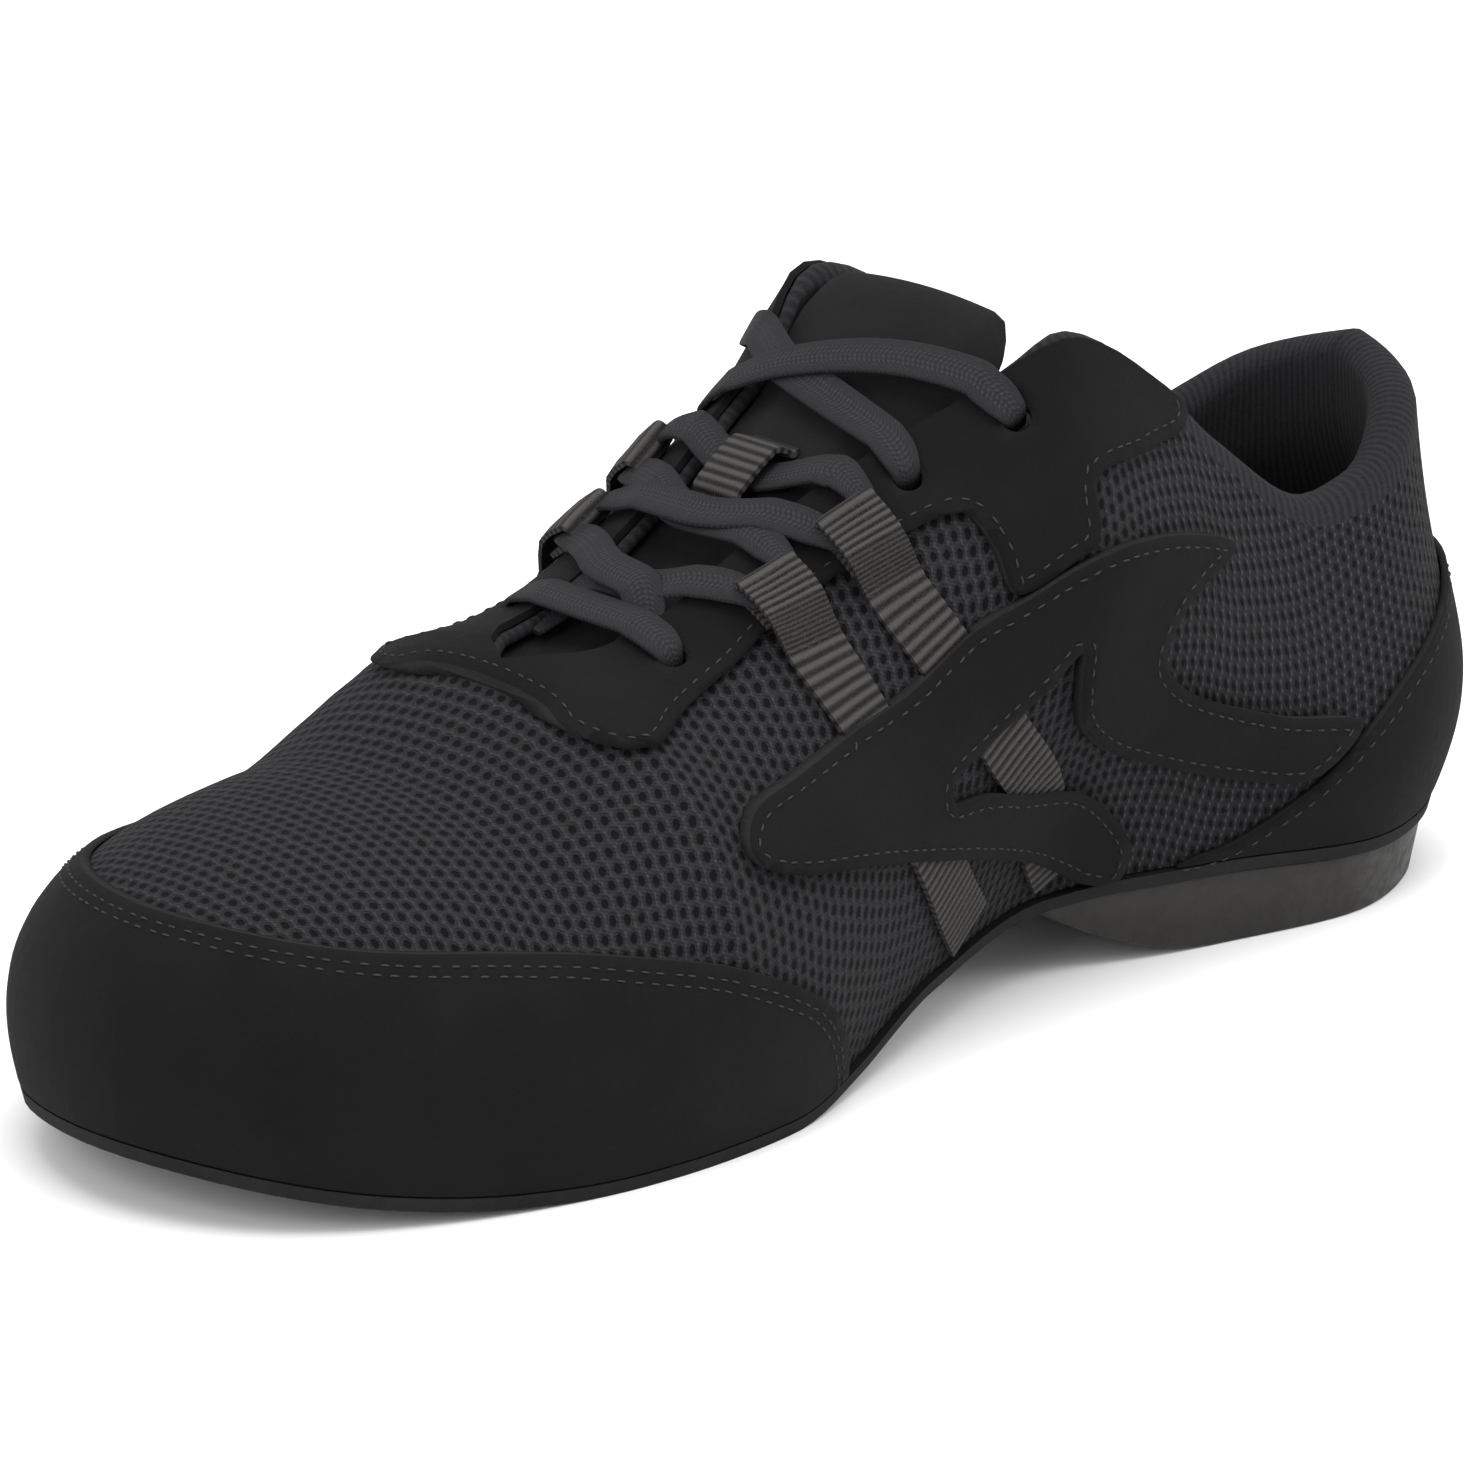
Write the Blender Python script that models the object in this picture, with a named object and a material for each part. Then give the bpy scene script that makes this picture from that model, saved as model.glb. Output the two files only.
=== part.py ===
"""A low dance sneaker for the left foot: mesh upper with suede overlays, webbing lace loops,
padded tongue and collar, thin suede sole and a low rubber heel.

X runs from the heel to the toe, Y to the wearer's left (the outer side of the foot), Z up.
The origin is on the floor, under the middle of the shoe's box. Sizes are in metres.
"""

import math

import bmesh
import bpy
import numpy as np

MM = 0.001

# Driving sizes of the last, which is the form that the shoe is made on
SHOE_LENGTH = 268 * MM
BALL_WIDTH = 98 * MM
HEEL_WIDTH = 64 * MM
BACK_HEIGHT = 70 * MM
ANKLE_HEIGHT = 54 * MM
INSTEP_HEIGHT = 90.5 * MM
VAMP_HEIGHT = 64.5 * MM
TOE_BOX_HEIGHT = 50.5 * MM
COLLAR_WIDTH = 56 * MM
THROAT_WIDTH = 40 * MM
HEEL_LIFT = 10.5 * MM
ARCH_LIFT = 12 * MM
TOE_SPRING = 10 * MM

# Thicknesses, and the gap that neighbouring pieces keep
SOLE_THICK = 2.2 * MM
INSOLE_THICK = 3.5 * MM
WALL = 2.2 * MM
COLLAR_PAD = 8 * MM
COLLAR_PAD_DEPTH = 26 * MM
OVERLAY_THICK = 1.1 * MM
FLANK_THICK = 1.9 * MM
WEBBING_THICK = 0.8 * MM
TONGUE_THICK = 5.5 * MM
GAP = 0.3 * MM

# How finely the last is divided: rays round the heel, stations along the shoe, rays round half of
# the toe, and rows up the wall
HEEL_RAYS = 5
TOE_RAYS = 6
ROWS = 12
RIM_ROWS = 2

HEEL_CENTRE = 0.125
TOE_CENTRE = 0.80
THROAT_FRONT = 0.70
STATION_STEP = 0.04
PLATE_RINGS = (0.0, 0.6, 1.0)
RIM_BULGE = 0.8

SIDE_NAMES = {1: "outer", -1: "inner"}


def named_rows(names, *rows):
    """A table: one dictionary for each row, with the columns' names as its keys."""
    return [dict(zip(names.split(), row)) for row in rows]


# Outline of the sole, once round from the back of the heel by the outer side. at is a share of
# SHOE_LENGTH; heel and ball are shares of HEEL_WIDTH and BALL_WIDTH, positive to the outer side.
OUTLINE = named_rows(
    "at heel ball",
    (0.000, 0.00, 0.00),
    (0.030, 0.28, 0.00),
    (0.120, 0.49, 0.00),
    (0.250, 0.44, 0.00),
    (0.390, 0.27, 0.08),
    (0.520, 0.13, 0.28),
    (0.640, 0.00, 0.480),
    (0.760, 0.00, 0.500),
    (0.890, 0.00, 0.415),
    (0.965, 0.00, 0.270),
    (1.000, 0.00, 0.030),
    (0.975, 0.00, -0.230),
    (0.900, 0.00, -0.415),
    (0.790, 0.00, -0.490),
    (0.700, 0.00, -0.490),
    (0.560, -0.10, -0.310),
    (0.420, -0.24, -0.110),
    (0.270, -0.43, 0.00),
    (0.120, -0.49, 0.00),
    (0.030, -0.28, 0.00),
)

# Height of the sole's upper face: shares of HEEL_LIFT, ARCH_LIFT and TOE_SPRING over SOLE_THICK.
SEAT = named_rows(
    "at heel arch toe",
    (0.00, 1.00, 0.00, 0.00),
    (0.10, 1.02, 0.00, 0.00),
    (0.20, 1.00, 0.14, 0.00),
    (0.30, 0.75, 0.46, 0.00),
    (0.35, 0.45, 0.72, 0.00),
    (0.39, 0.22, 0.88, 0.00),
    (0.48, 0.00, 0.75, 0.00),
    (0.56, 0.00, 0.25, 0.00),
    (0.63, 0.00, 0.00, 0.00),
    (0.76, 0.00, 0.00, 0.00),
    (0.83, 0.00, 0.00, 0.10),
    (0.90, 0.00, 0.00, 0.35),
    (1.00, 0.00, 0.00, 1.00),
)

# The wall over the sole. back, ankle, instep, vamp and toe are shares of the heights of those names
# and add up to the height of the top edge; collar and throat are shares of half of those widths and
# add up to its half width. lean_out and lean_in are degrees from upright at the sole and at the top
# edge, and low and high say how far each of those slopes reaches.
WALL_FORM = named_rows(
    "at back ankle instep vamp toe collar throat lean_out lean_in low high",
    (0.000, 1.00, 0.00, 0.00, 0.00, 0.00, 0.96, 0.00, 22, 2, 0.42, 0.45),
    (0.060, 0.60, 0.42, 0.00, 0.00, 0.00, 0.96, 0.00, 22, 5, 0.42, 0.45),
    (0.125, 0.08, 0.93, 0.00, 0.00, 0.00, 0.98, 0.00, 20, 12, 0.42, 0.45),
    (0.160, 0.00, 1.00, 0.00, 0.00, 0.00, 1.00, 0.00, 18, 14, 0.42, 0.45),
    (0.250, 0.00, 0.55, 0.417, 0.00, 0.00, 1.03, 0.00, 18, 18, 0.42, 0.45),
    (0.300, 0.00, 0.25, 0.727, 0.00, 0.00, 1.05, 0.00, 18, 24, 0.42, 0.45),
    (0.375, 0.00, 0.00, 1.00, 0.00, 0.00, 1.02, 0.00, 20, 32, 0.48, 0.45),
    (0.415, 0.00, 0.00, 0.955, 0.00, 0.00, 0.42, 0.62, 20, 46, 0.48, 0.45),
    (0.470, 0.00, 0.00, 0.800, 0.13, 0.00, 0.05, 0.82, 20, 62, 0.50, 0.40),
    (0.520, 0.00, 0.00, 0.610, 0.34, 0.00, 0.00, 0.68, 20, 70, 0.52, 0.38),
    (0.569, 0.00, 0.00, 0.430, 0.54, 0.00, 0.00, 0.57, 20, 74, 0.54, 0.40),
    (0.668, 0.00, 0.00, 0.06, 0.93, 0.00, 0.00, 0.47, 20, 80, 0.60, 0.50),
    (0.688, 0.00, 0.00, 0.02, 0.98, 0.00, 0.00, 0.30, 18, 84, 0.60, 0.62),
    (0.700, 0.00, 0.00, 0.00, 0.99, 0.00, 0.00, 0.00, 18, 90, 0.60, 0.65),
    (0.720, 0.00, 0.00, 0.00, 0.74, 0.25, 0.00, 0.00, 18, 90, 0.60, 0.65),
    (0.800, 0.00, 0.00, 0.00, 0.00, 1.00, 0.00, 0.00, 18, 90, 0.60, 0.65),
    (1.000, 0.00, 0.00, 0.00, 0.00, 1.00, 0.00, 0.00, 13, 90, 0.66, 0.65),
)


def column(table, name, at):
    """The named column at a share of the length, by a cubic that never passes its rows' values."""
    place = [row["at"] for row in table]
    value = [row[name] for row in table]
    step = [b - a for a, b in zip(place, place[1:])]
    rise = [(b - a) / s for a, b, s in zip(value, value[1:], step)]
    slope = [rise[0]] + [0.0] * (len(rise) - 1) + [rise[-1]]
    for i in range(1, len(rise)):
        if rise[i - 1] * rise[i] > 0:
            before = 2 * step[i] + step[i - 1]
            after = step[i] + 2 * step[i - 1]
            slope[i] = (before + after) / (before / rise[i - 1] + after / rise[i])
    at = min(max(at, place[0]), place[-1])
    i = max(k for k in range(len(step)) if at >= place[k])
    t = (at - place[i]) / step[i]
    start = value[i] * (1 + 2 * t) * (1 - t) ** 2 + slope[i] * step[i] * t * (1 - t) ** 2
    end = value[i + 1] * t * t * (3 - 2 * t) + slope[i + 1] * step[i] * t * t * (t - 1)
    return start + end


def closed_curve(points, per_span=10):
    """A smooth closed line through the points, by centripetal Catmull-Rom spans."""
    points = np.array(points)
    count = len(points)
    line = []
    for i in range(count):
        a, b, c, d = (points[(i + k) % count] for k in (-1, 0, 1, 2))
        ab, bc, cd = (np.linalg.norm(q - p) ** 0.5 for p, q in ((a, b), (b, c), (c, d)))
        start = (c - b) + bc * ((b - a) / ab - (c - a) / (ab + bc))
        end = (c - b) + bc * ((d - c) / cd - (d - b) / (bc + cd))
        for t in np.arange(per_span) / per_span:
            cubic = 2 * (b - c) + start + end
            square = -3 * (b - c) - 2 * start - end
            line.append(cubic * t**3 + square * t * t + start * t + b)
    return np.array(line)


OUTLINE_LINE = closed_curve(
    [
        (row["at"] * SHOE_LENGTH, row["heel"] * HEEL_WIDTH + row["ball"] * BALL_WIDTH)
        for row in OUTLINE
    ]
)


def reach(origin, direction):
    """How far the sole's outline is from a point inside it, along a level direction."""
    a = OUTLINE_LINE - origin
    b = np.roll(OUTLINE_LINE, -1, axis=0) - origin
    cross_a = direction[0] * a[:, 1] - direction[1] * a[:, 0]
    cross_b = direction[0] * b[:, 1] - direction[1] * b[:, 0]
    meets = np.nonzero((cross_a <= 0) != (cross_b <= 0))[0]
    part = cross_a[meets] / (cross_a[meets] - cross_b[meets])
    along = (a[meets] + (b[meets] - a[meets]) * part[:, None]) @ direction
    return min(along[along > 0])


def spine(at):
    """The point halfway between the two edges of the sole, at a share of the length."""
    origin = np.array([at * SHOE_LENGTH, 0.0])
    left = reach(origin, np.array([0.0, 1.0]))
    right = reach(origin, np.array([0.0, -1.0]))
    return origin + np.array([0.0, (left - right) / 2])


def seat_height(x):
    """Height of the sole's upper face at x."""
    at = x / SHOE_LENGTH
    lift = column(SEAT, "heel", at) * HEEL_LIFT + column(SEAT, "arch", at) * ARCH_LIFT
    return SOLE_THICK + lift + column(SEAT, "toe", at) * TOE_SPRING


def rays():
    """Where each ray starts on the spine, its angle from the toe's direction, and its station."""
    found = [
        (HEEL_CENTRE, 180 - 90 * i / HEEL_RAYS, HEEL_CENTRE * i / HEEL_RAYS)
        for i in range(HEEL_RAYS)
    ]
    behind = round((THROAT_FRONT - HEEL_CENTRE) / STATION_STEP)
    found += [(at, 90, at) for at in np.linspace(HEEL_CENTRE, THROAT_FRONT, behind + 1)[:-1]]
    close = THROAT_FRONT - STATION_STEP * 0.4
    found += [(close, 90, close), (THROAT_FRONT, 90, THROAT_FRONT)]
    ahead = round((TOE_CENTRE - THROAT_FRONT) / STATION_STEP)
    found += [(at, 90, at) for at in np.linspace(THROAT_FRONT, TOE_CENTRE, ahead + 1)[1:]]
    found += [
        (TOE_CENTRE, 90 - 90 * i / TOE_RAYS, TOE_CENTRE + (1 - TOE_CENTRE) * i / TOE_RAYS)
        for i in range(1, TOE_RAYS + 1)
    ]
    return found


RAYS = rays()
LAST_RAY = len(RAYS) - 1
POLE_RAY = LAST_RAY - TOE_RAYS
FRONT_RAY = next(i for i, ray in enumerate(RAYS) if ray[2] == THROAT_FRONT)
# The upper stands in from the sole's edge by what lies on it, so that the overlays end flush.
EDGE_INSET = GAP + OVERLAY_THICK
# How far the slope at the top edge reaches, for a share of 1 in WALL_FORM's high column
TOP_REACH = 1.3


def top_height(at):
    """Height of the wall's top edge."""
    heights = {
        "back": BACK_HEIGHT,
        "ankle": ANKLE_HEIGHT,
        "instep": INSTEP_HEIGHT,
        "vamp": VAMP_HEIGHT,
        "toe": TOE_BOX_HEIGHT,
    }
    wall = sum(column(WALL_FORM, name, at) * size for name, size in heights.items())
    return seat_height(min(at, TOE_CENTRE) * SHOE_LENGTH) + wall


def top_half_width(at):
    """How far the wall's top edge is from the spine."""
    collar = column(WALL_FORM, "collar", at) * COLLAR_WIDTH / 2
    return collar + column(WALL_FORM, "throat", at) * THROAT_WIDTH / 2


def top_slope():
    """How steeply the closed forefoot falls toward the toe where the toe's rays meet."""
    step = 0.02
    return (top_height(TOE_CENTRE) - top_height(TOE_CENTRE - step)) / (step * SHOE_LENGTH)


def wall_curve(side, centre, angle, at):
    """The wall in the upright plane of one ray, as four control points of (reach, height)."""
    origin = spine(centre)
    heading = np.array([math.cos(math.radians(angle)), side * math.sin(math.radians(angle))])
    foot = reach(origin, heading) - EDGE_INSET
    low = seat_height(origin[0] + heading[0] * foot) + GAP
    width = top_half_width(at)
    high = top_height(at)
    lean_out = math.radians(column(WALL_FORM, "lean_out", at))
    lean_in = math.radians(column(WALL_FORM, "lean_in", at))
    rise = high - low
    run = max(foot - width, 0.0)
    start = np.array([foot, low])
    end = np.array([width, high])
    first = column(WALL_FORM, "low", at) * rise
    out = start + first * np.array([math.sin(lean_out), math.cos(lean_out)])
    arriving = np.array([-math.sin(lean_in), math.cos(lean_in)])
    if at > TOE_CENTRE:
        arriving = np.array([-1.0, -top_slope() * heading[0]])
    last = column(WALL_FORM, "high", at) * TOP_REACH
    last *= run * math.sin(lean_in) + rise * math.cos(lean_in)
    return origin, heading, (start, out, end - last * arriving, end)


def curve_point(curve, t):
    origin, heading, (a, b, c, d) = curve
    flat = a * (1 - t) ** 3 + 3 * b * t * (1 - t) ** 2 + 3 * c * t * t * (1 - t) + d * t**3
    return np.array([*(origin + heading * flat[0]), flat[1]])


CURVES = {(side, i): wall_curve(side, *ray) for side in (1, -1) for i, ray in enumerate(RAYS)}


def corner(side, i, j):
    """The grid's key for a corner, the same for both sides where they meet."""
    if i in (0, LAST_RAY):
        side = 1
    if j == ROWS and i >= FRONT_RAY:
        side = 1
        i = min(i, POLE_RAY)
    return side, i, j


def halves(face, places):
    """A face of four corners as two triangles, cut along its shorter diagonal."""
    if len(face) == 3:
        return [face]
    a, b, c, d = (np.array(places[key]) for key in face)
    if np.linalg.norm(a - c) < np.linalg.norm(b - d):
        return [[face[0], face[1], face[2]], [face[0], face[2], face[3]]]
    return [[face[0], face[1], face[3]], [face[1], face[2], face[3]]]


def last_grid():
    """Every corner of the last's surface with its outward direction, and the faces between them."""
    places = {}
    for (side, i), curve in CURVES.items():
        for j in range(ROWS + 1):
            places[corner(side, i, j)] = curve_point(curve, j / ROWS)
    faces = []
    for side in (1, -1):
        for i in range(LAST_RAY):
            for j in range(ROWS):
                ring = [(i, j), (i, j + 1), (i + 1, j + 1), (i + 1, j)][::side]
                face = list(dict.fromkeys(corner(side, *key) for key in ring))
                faces += halves(face, places)
    outward = {key: np.zeros(3) for key in places}
    for face in faces:
        first, second, third = (np.array(places[key]) for key in face)
        normal = np.cross(second - first, third - second)
        for key in face:
            outward[key] += normal
    for key, normal in outward.items():
        if key[2] == 0:
            normal[2] = 0.0
        outward[key] = normal / np.linalg.norm(normal)
    return places, outward, faces


PLACES, OUTWARD, FACES = last_grid()


def lifted(key, lift):
    """A grid corner moved out by lift. The lowest row stays on the sole as it moves."""
    place = PLACES[key] + OUTWARD[key] * lift
    if key[2] == 0:
        place[2] = seat_height(place[0]) + GAP
    return place


for old in list(bpy.data.objects):
    bpy.data.objects.remove(old, do_unlink=True)


def material(name, colour, roughness):
    """An opaque surface of one sRGB colour."""
    made = bpy.data.materials.new(name)
    made.use_nodes = True
    linear = [(c / 255 / 12.92) if c < 10.3 else ((c / 255 + 0.055) / 1.055) ** 2.4 for c in colour]
    shader = made.node_tree.nodes["Principled BSDF"]
    shader.inputs["Base Color"].default_value = (*linear, 1.0)
    shader.inputs["Roughness"].default_value = roughness
    made.diffuse_color = (*linear, 1.0)
    return made


MESH_CLOTH = material("mesh_cloth", (58, 58, 61), 0.85)
SUEDE = material("suede", (34, 34, 35), 0.95)
WEBBING = material("webbing", (72, 70, 67), 0.7)
LACE = material("lace", (52, 52, 55), 0.8)
RUBBER = material("rubber", (58, 54, 51), 0.6)
SOCK_LINING = material("sock_lining", (40, 40, 42), 0.9)


def solid(name, points, faces, stuff):
    """An object from points and faces, with every face turned outward."""
    mesh = bpy.data.meshes.new(name)
    mesh.from_pydata([tuple(p) for p in points], [], faces)
    form = bmesh.new()
    form.from_mesh(mesh)
    bmesh.ops.recalc_face_normals(form, faces=form.faces)
    form.to_mesh(mesh)
    form.free()
    mesh.materials.append(stuff)
    mesh.shade_smooth()
    mesh.set_sharp_from_angle(angle=math.radians(50))
    made = bpy.data.objects.new(name, mesh)
    bpy.context.scene.collection.objects.link(made)
    return made


def helper(made):
    """Marks an object as a cutter, which is no piece of the shoe."""
    made.hide_render = True
    made.display_type = "WIRE"
    return made


def boolean(target, operation, other):
    cut = target.modifiers.new(operation.lower(), "BOOLEAN")
    cut.operation = operation
    cut.solver = "EXACT"
    cut.object = other
    return target


def shell(name, stuff, outer, inner, rim=0):
    """A hollow form between two lifts of the last's surface, each a function of the grid key.

    Its top edge is a flat strip, or bulges in rim rows.
    """
    keys = list(dict.fromkeys(key for face in FACES for key in face))
    number = {key: i for i, key in enumerate(keys)}
    points = [lifted(key, outer(key)) for key in keys] + [lifted(key, inner(key)) for key in keys]
    count = len(keys)
    outside = [[number[key] for key in face] for face in FACES]
    made = outside + [[n + count for n in face[::-1]] for face in outside]
    edges = dict.fromkeys((a, b) for face in FACES for a, b in zip(face, face[1:] + face[:1]))
    arcs = {}

    def rim_points(key):
        if key not in arcs:
            arcs[key] = [number[key]]
            out, back = points[number[key]], points[number[key] + count]
            below = PLACES[corner(*key[:2], ROWS - 1)] if key[1] <= POLE_RAY else None
            up = PLACES[key] - below
            bulge = np.linalg.norm(out - back) / 2 * up / np.linalg.norm(up)
            for k in range(1, rim + 1):
                turn = math.pi * k / (rim + 1)
                middle = (out + back) / 2 + (out - back) / 2 * math.cos(turn)
                arcs[key].append(len(points))
                points.append(middle + bulge * math.sin(turn) * RIM_BULGE)
            arcs[key].append(number[key] + count)
        return arcs[key]

    for a, b in edges:
        if (b, a) in edges:
            continue
        if rim and a[2] == ROWS and b[2] == ROWS:
            one, two = rim_points(a), rim_points(b)
        else:
            one, two = [number[a], number[a] + count], [number[b], number[b] + count]
        for k in range(len(one) - 1):
            made.append([one[k + 1], two[k + 1], two[k], one[k]])
    return solid(name, points, made, stuff)


def pad(key):
    """The wall's thickness at a corner of the grid."""
    side, i, j = key
    return wall_thickness(RAYS[i][2], PLACES[corner(side, i, ROWS)][2] - PLACES[key][2])


def loft_faces(rings):
    """Points and faces of a solid through rings of as many points each, closed at both ends."""
    size = len(rings[0])
    points = [p for ring in rings for p in ring]
    faces = [list(range(size))[::-1], [len(points) - size + k for k in range(size)]]
    for i in range(len(rings) - 1):
        for k in range(size):
            n = (k + 1) % size
            faces.append([i * size + k, i * size + n, (i + 1) * size + n, (i + 1) * size + k])
    return points, faces


def loft(name, rings, stuff):
    return solid(name, *loft_faces(rings), stuff)


def plate(name, stuff, top, bottom, until=1.0):
    """A level piece with the sole's outline, from the heel until a share of the length.

    top and bottom are (inset from the outline, height at x) for the two faces.
    """
    stations = [ray for ray in RAYS if ray[2] < until]
    stations.append((until, 90, until) if until < 1.0 else RAYS[-1])

    def key_of(side, i, k):
        return ("spine", stations[i][0]) if k == 0 else corner(side, i, 0)[:2] + (k,)

    layers = []
    for inset, height in (top, bottom):
        layer = {}
        for side in (1, -1):
            for i, (centre, angle, _) in enumerate(stations):
                origin = spine(centre)
                turn = math.radians(angle)
                heading = np.array([math.cos(turn), side * math.sin(turn)])
                foot = reach(origin, heading) - inset
                for k, share in enumerate(PLATE_RINGS):
                    x, y = origin + heading * foot * share
                    layer[key_of(side, i, k)] = (x, y, height(x))
        layers.append(layer)
    keys = list(layers[0])
    number = {key: n for n, key in enumerate(keys)}
    faces = []
    for side in (1, -1):
        for i in range(len(stations) - 1):
            for k in range(len(PLATE_RINGS) - 1):
                ring = [(i, k), (i, k + 1), (i + 1, k + 1), (i + 1, k)][::side]
                face = list(dict.fromkeys(key_of(side, *key) for key in ring))
                if len(face) > 2:
                    faces.append([number[key] for key in face])
    points = [layer[key] for layer in layers for key in keys]
    return two_layers(name, points, faces, stuff)


def two_layers(name, points, faces, stuff):
    """A closed solid from two layers of matching points, listed one after the other."""
    count = len(points) // 2
    edges = {(a, b) for face in faces for a, b in zip(face, face[1:] + face[:1])}
    made = list(faces) + [[n + count for n in face[::-1]] for face in faces]
    made += [[b, a, a + count, b + count] for a, b in edges if (b, a) not in edges]
    return solid(name, points, made, stuff)


# Sole and heel
SOLE_TAPER = 0.6 * MM
HEEL_FLAT_END = 62 * MM
HEEL_TIP = 97 * MM
HEEL_TIP_THICK = 1.0 * MM
HEEL_INSET = 1.5 * MM
HEEL_TAPER = 2.0 * MM
HEEL_BULGE = 1.8


def outsole():
    return plate(
        "outsole",
        SUEDE,
        (0.0, seat_height),
        (SOLE_TAPER, lambda x: seat_height(x) - SOLE_THICK),
    )


def heel():
    """The rubber block under the back of the sole, thinning to a tip at the arch."""

    def top(x):
        return seat_height(x) - SOLE_THICK - GAP

    def tread(x):
        part = min(max((x - HEEL_FLAT_END) / (HEEL_TIP - HEEL_FLAT_END), 0.0), 1.0)
        return (top(HEEL_TIP) - HEEL_TIP_THICK) * part**HEEL_BULGE

    return plate(
        "heel",
        RUBBER,
        (HEEL_INSET, top),
        (HEEL_INSET + HEEL_TAPER, tread),
        until=HEEL_TIP / SHOE_LENGTH,
    )


def insole():
    """The sock of the shoe, inside the upper and on the sole."""
    inset = EDGE_INSET + WALL + 2 * GAP
    return plate(
        "insole",
        SOCK_LINING,
        (inset, lambda x: seat_height(x) + GAP + INSOLE_THICK),
        (inset, lambda x: seat_height(x) + 1.5 * GAP),
    )


def upper():
    return shell("upper", MESH_CLOTH, lambda key: 0.0, lambda key: -pad(key), rim=RIM_ROWS)


def skin(side, x, height):
    """The last's surface over the sole at x: its point at a height, and its outward direction."""
    at = x / SHOE_LENGTH
    curve = wall_curve(side, at, 90, at)
    low, high = 0.0, 1.0
    for _ in range(30):
        middle = (low + high) / 2
        if curve_point(curve, middle)[2] < height:
            low = middle
        else:
            high = middle
    point = curve_point(curve, low)
    step = 0.01
    ahead = wall_curve(side, at + step, 90, at + step)
    along = curve_point(ahead, low) - point
    up = curve_point(curve, min(low + step, 1.0)) - curve_point(curve, low - step)
    normal = np.cross(along, up)
    return point, normal / np.linalg.norm(normal) * math.copysign(1.0, normal[1] * side)


def smooth_line(points, count):
    """Evenly counted points on a smooth open line through the given ones."""
    points = np.array(points)
    gaps = np.linalg.norm(np.diff(points, axis=0), axis=1)
    place = np.concatenate([[0.0], np.cumsum(gaps)])
    tables = [
        named_rows("at value", *zip(place, points[:, k])) for k in range(points.shape[1])
    ]
    return np.array(
        [[column(t, "value", s) for t in tables] for s in np.linspace(0, place[-1], count)]
    )


# The tongue: from under the vamp, along the throat, to its padded top. half_width is a share of
# half of THROAT_WIDTH, thick a share of TONGUE_THICK, and crown says how many times TONGUE_CROWN
# its middle stands over the throat's edges, or sinks between them.
TONGUE = named_rows(
    "at half_width thick crown",
    (0.378, 0.75, 0.60, 0.50),
    (0.386, 1.00, 0.90, 0.65),
    (0.400, 1.15, 1.00, 0.75),
    (0.425, 1.20, 1.00, 0.65),
    (0.450, 1.20, 1.00, 0.40),
    (0.475, 1.18, 1.00, 0.15),
    (0.500, 1.12, 0.95, -0.10),
    (0.526, 1.05, 0.90, -0.30),
    (0.550, 1.00, 0.90, -0.55),
    (0.600, 0.90, 0.80, -0.70),
    (0.650, 0.80, 0.65, -0.50),
    (0.690, 0.70, 0.55, -0.35),
    (0.725, 0.60, 0.40, 0.00),
)
TONGUE_STATIONS = 14
TONGUE_COLUMNS = 10
TONGUE_CLEAR = 1.0 * MM
TONGUE_CROWN = 6 * MM
TONGUE_EASE = 9 * MM
TONGUE_EDGE_THINS = 0.65
TONGUE_EDGE_POWER = 6
PAD_END = 0.40
PAD_FADE = 0.06
PAD_FULL = 1.35


def throat_arch(at, across):
    """The surface that closes the throat: the wall beyond its edges, an arch between them."""
    half = top_half_width(at)
    if abs(across) >= half:
        return skin_at_reach(math.copysign(1.0, across), at, abs(across))
    rise = column(TONGUE, "crown", at) * TONGUE_CROWN * (1 - (across / half) ** 2)
    x, y = spine(at)
    return np.array([x, y + across, top_height(at) + rise])


def skin_at_reach(side, at, out):
    """The wall's point at a distance from the spine, on its upper half."""
    curve = wall_curve(side, at, 90, at)
    low, high = 0.35, 1.0
    for _ in range(30):
        middle = (low + high) / 2
        if abs(curve_point(curve, middle)[1] - curve[0][1]) > out:
            low = middle
        else:
            high = middle
    return curve_point(curve, high)


def wall_thickness(at, depth):
    """Thickness of the upper's wall: cloth, with the collar's padding near its top edge."""
    fade = min(max((PAD_END - at) / PAD_FADE, 0.0), 1.0)
    near = min(max(PAD_FULL - depth / COLLAR_PAD_DEPTH, 0.0), 1.0)
    return WALL + (COLLAR_PAD - WALL) * fade * near * near * (3 - 2 * near)


def tongue():
    upper_side, under_side = [], []
    step = 0.5 * MM
    for at in np.linspace(TONGUE[0]["at"], TONGUE[-1]["at"], TONGUE_STATIONS):
        width = column(TONGUE, "half_width", at) * THROAT_WIDTH / 2
        thick = column(TONGUE, "thick", at) * TONGUE_THICK
        half = top_half_width(at)
        for k in range(TONGUE_COLUMNS + 1):
            place = (2 * k / TONGUE_COLUMNS - 1) * width
            here = throat_arch(at, place)
            rise = throat_arch(at, place + step) - throat_arch(at, place - step)
            normal = np.array([0.0, -rise[2], rise[1]]) / math.hypot(rise[1], rise[2])
            under = wall_thickness(at, top_height(at) - here[2]) + TONGUE_CLEAR
            covered = min(max((abs(place) - half + TONGUE_EASE) / TONGUE_EASE, 0.0), 1.0)
            thin = 1 - TONGUE_EDGE_THINS * (abs(place) / width) ** TONGUE_EDGE_POWER
            upper_side.append(here - normal * under * covered)
            under_side.append(here - normal * (under * covered + thick * thin))
    faces = []
    row = TONGUE_COLUMNS + 1
    for i in range(TONGUE_STATIONS - 1):
        for k in range(TONGUE_COLUMNS):
            a = i * row + k
            faces.append([a, a + 1, a + row + 1, a + row])
    return two_layers("tongue", upper_side + under_side, faces, SUEDE)


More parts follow.
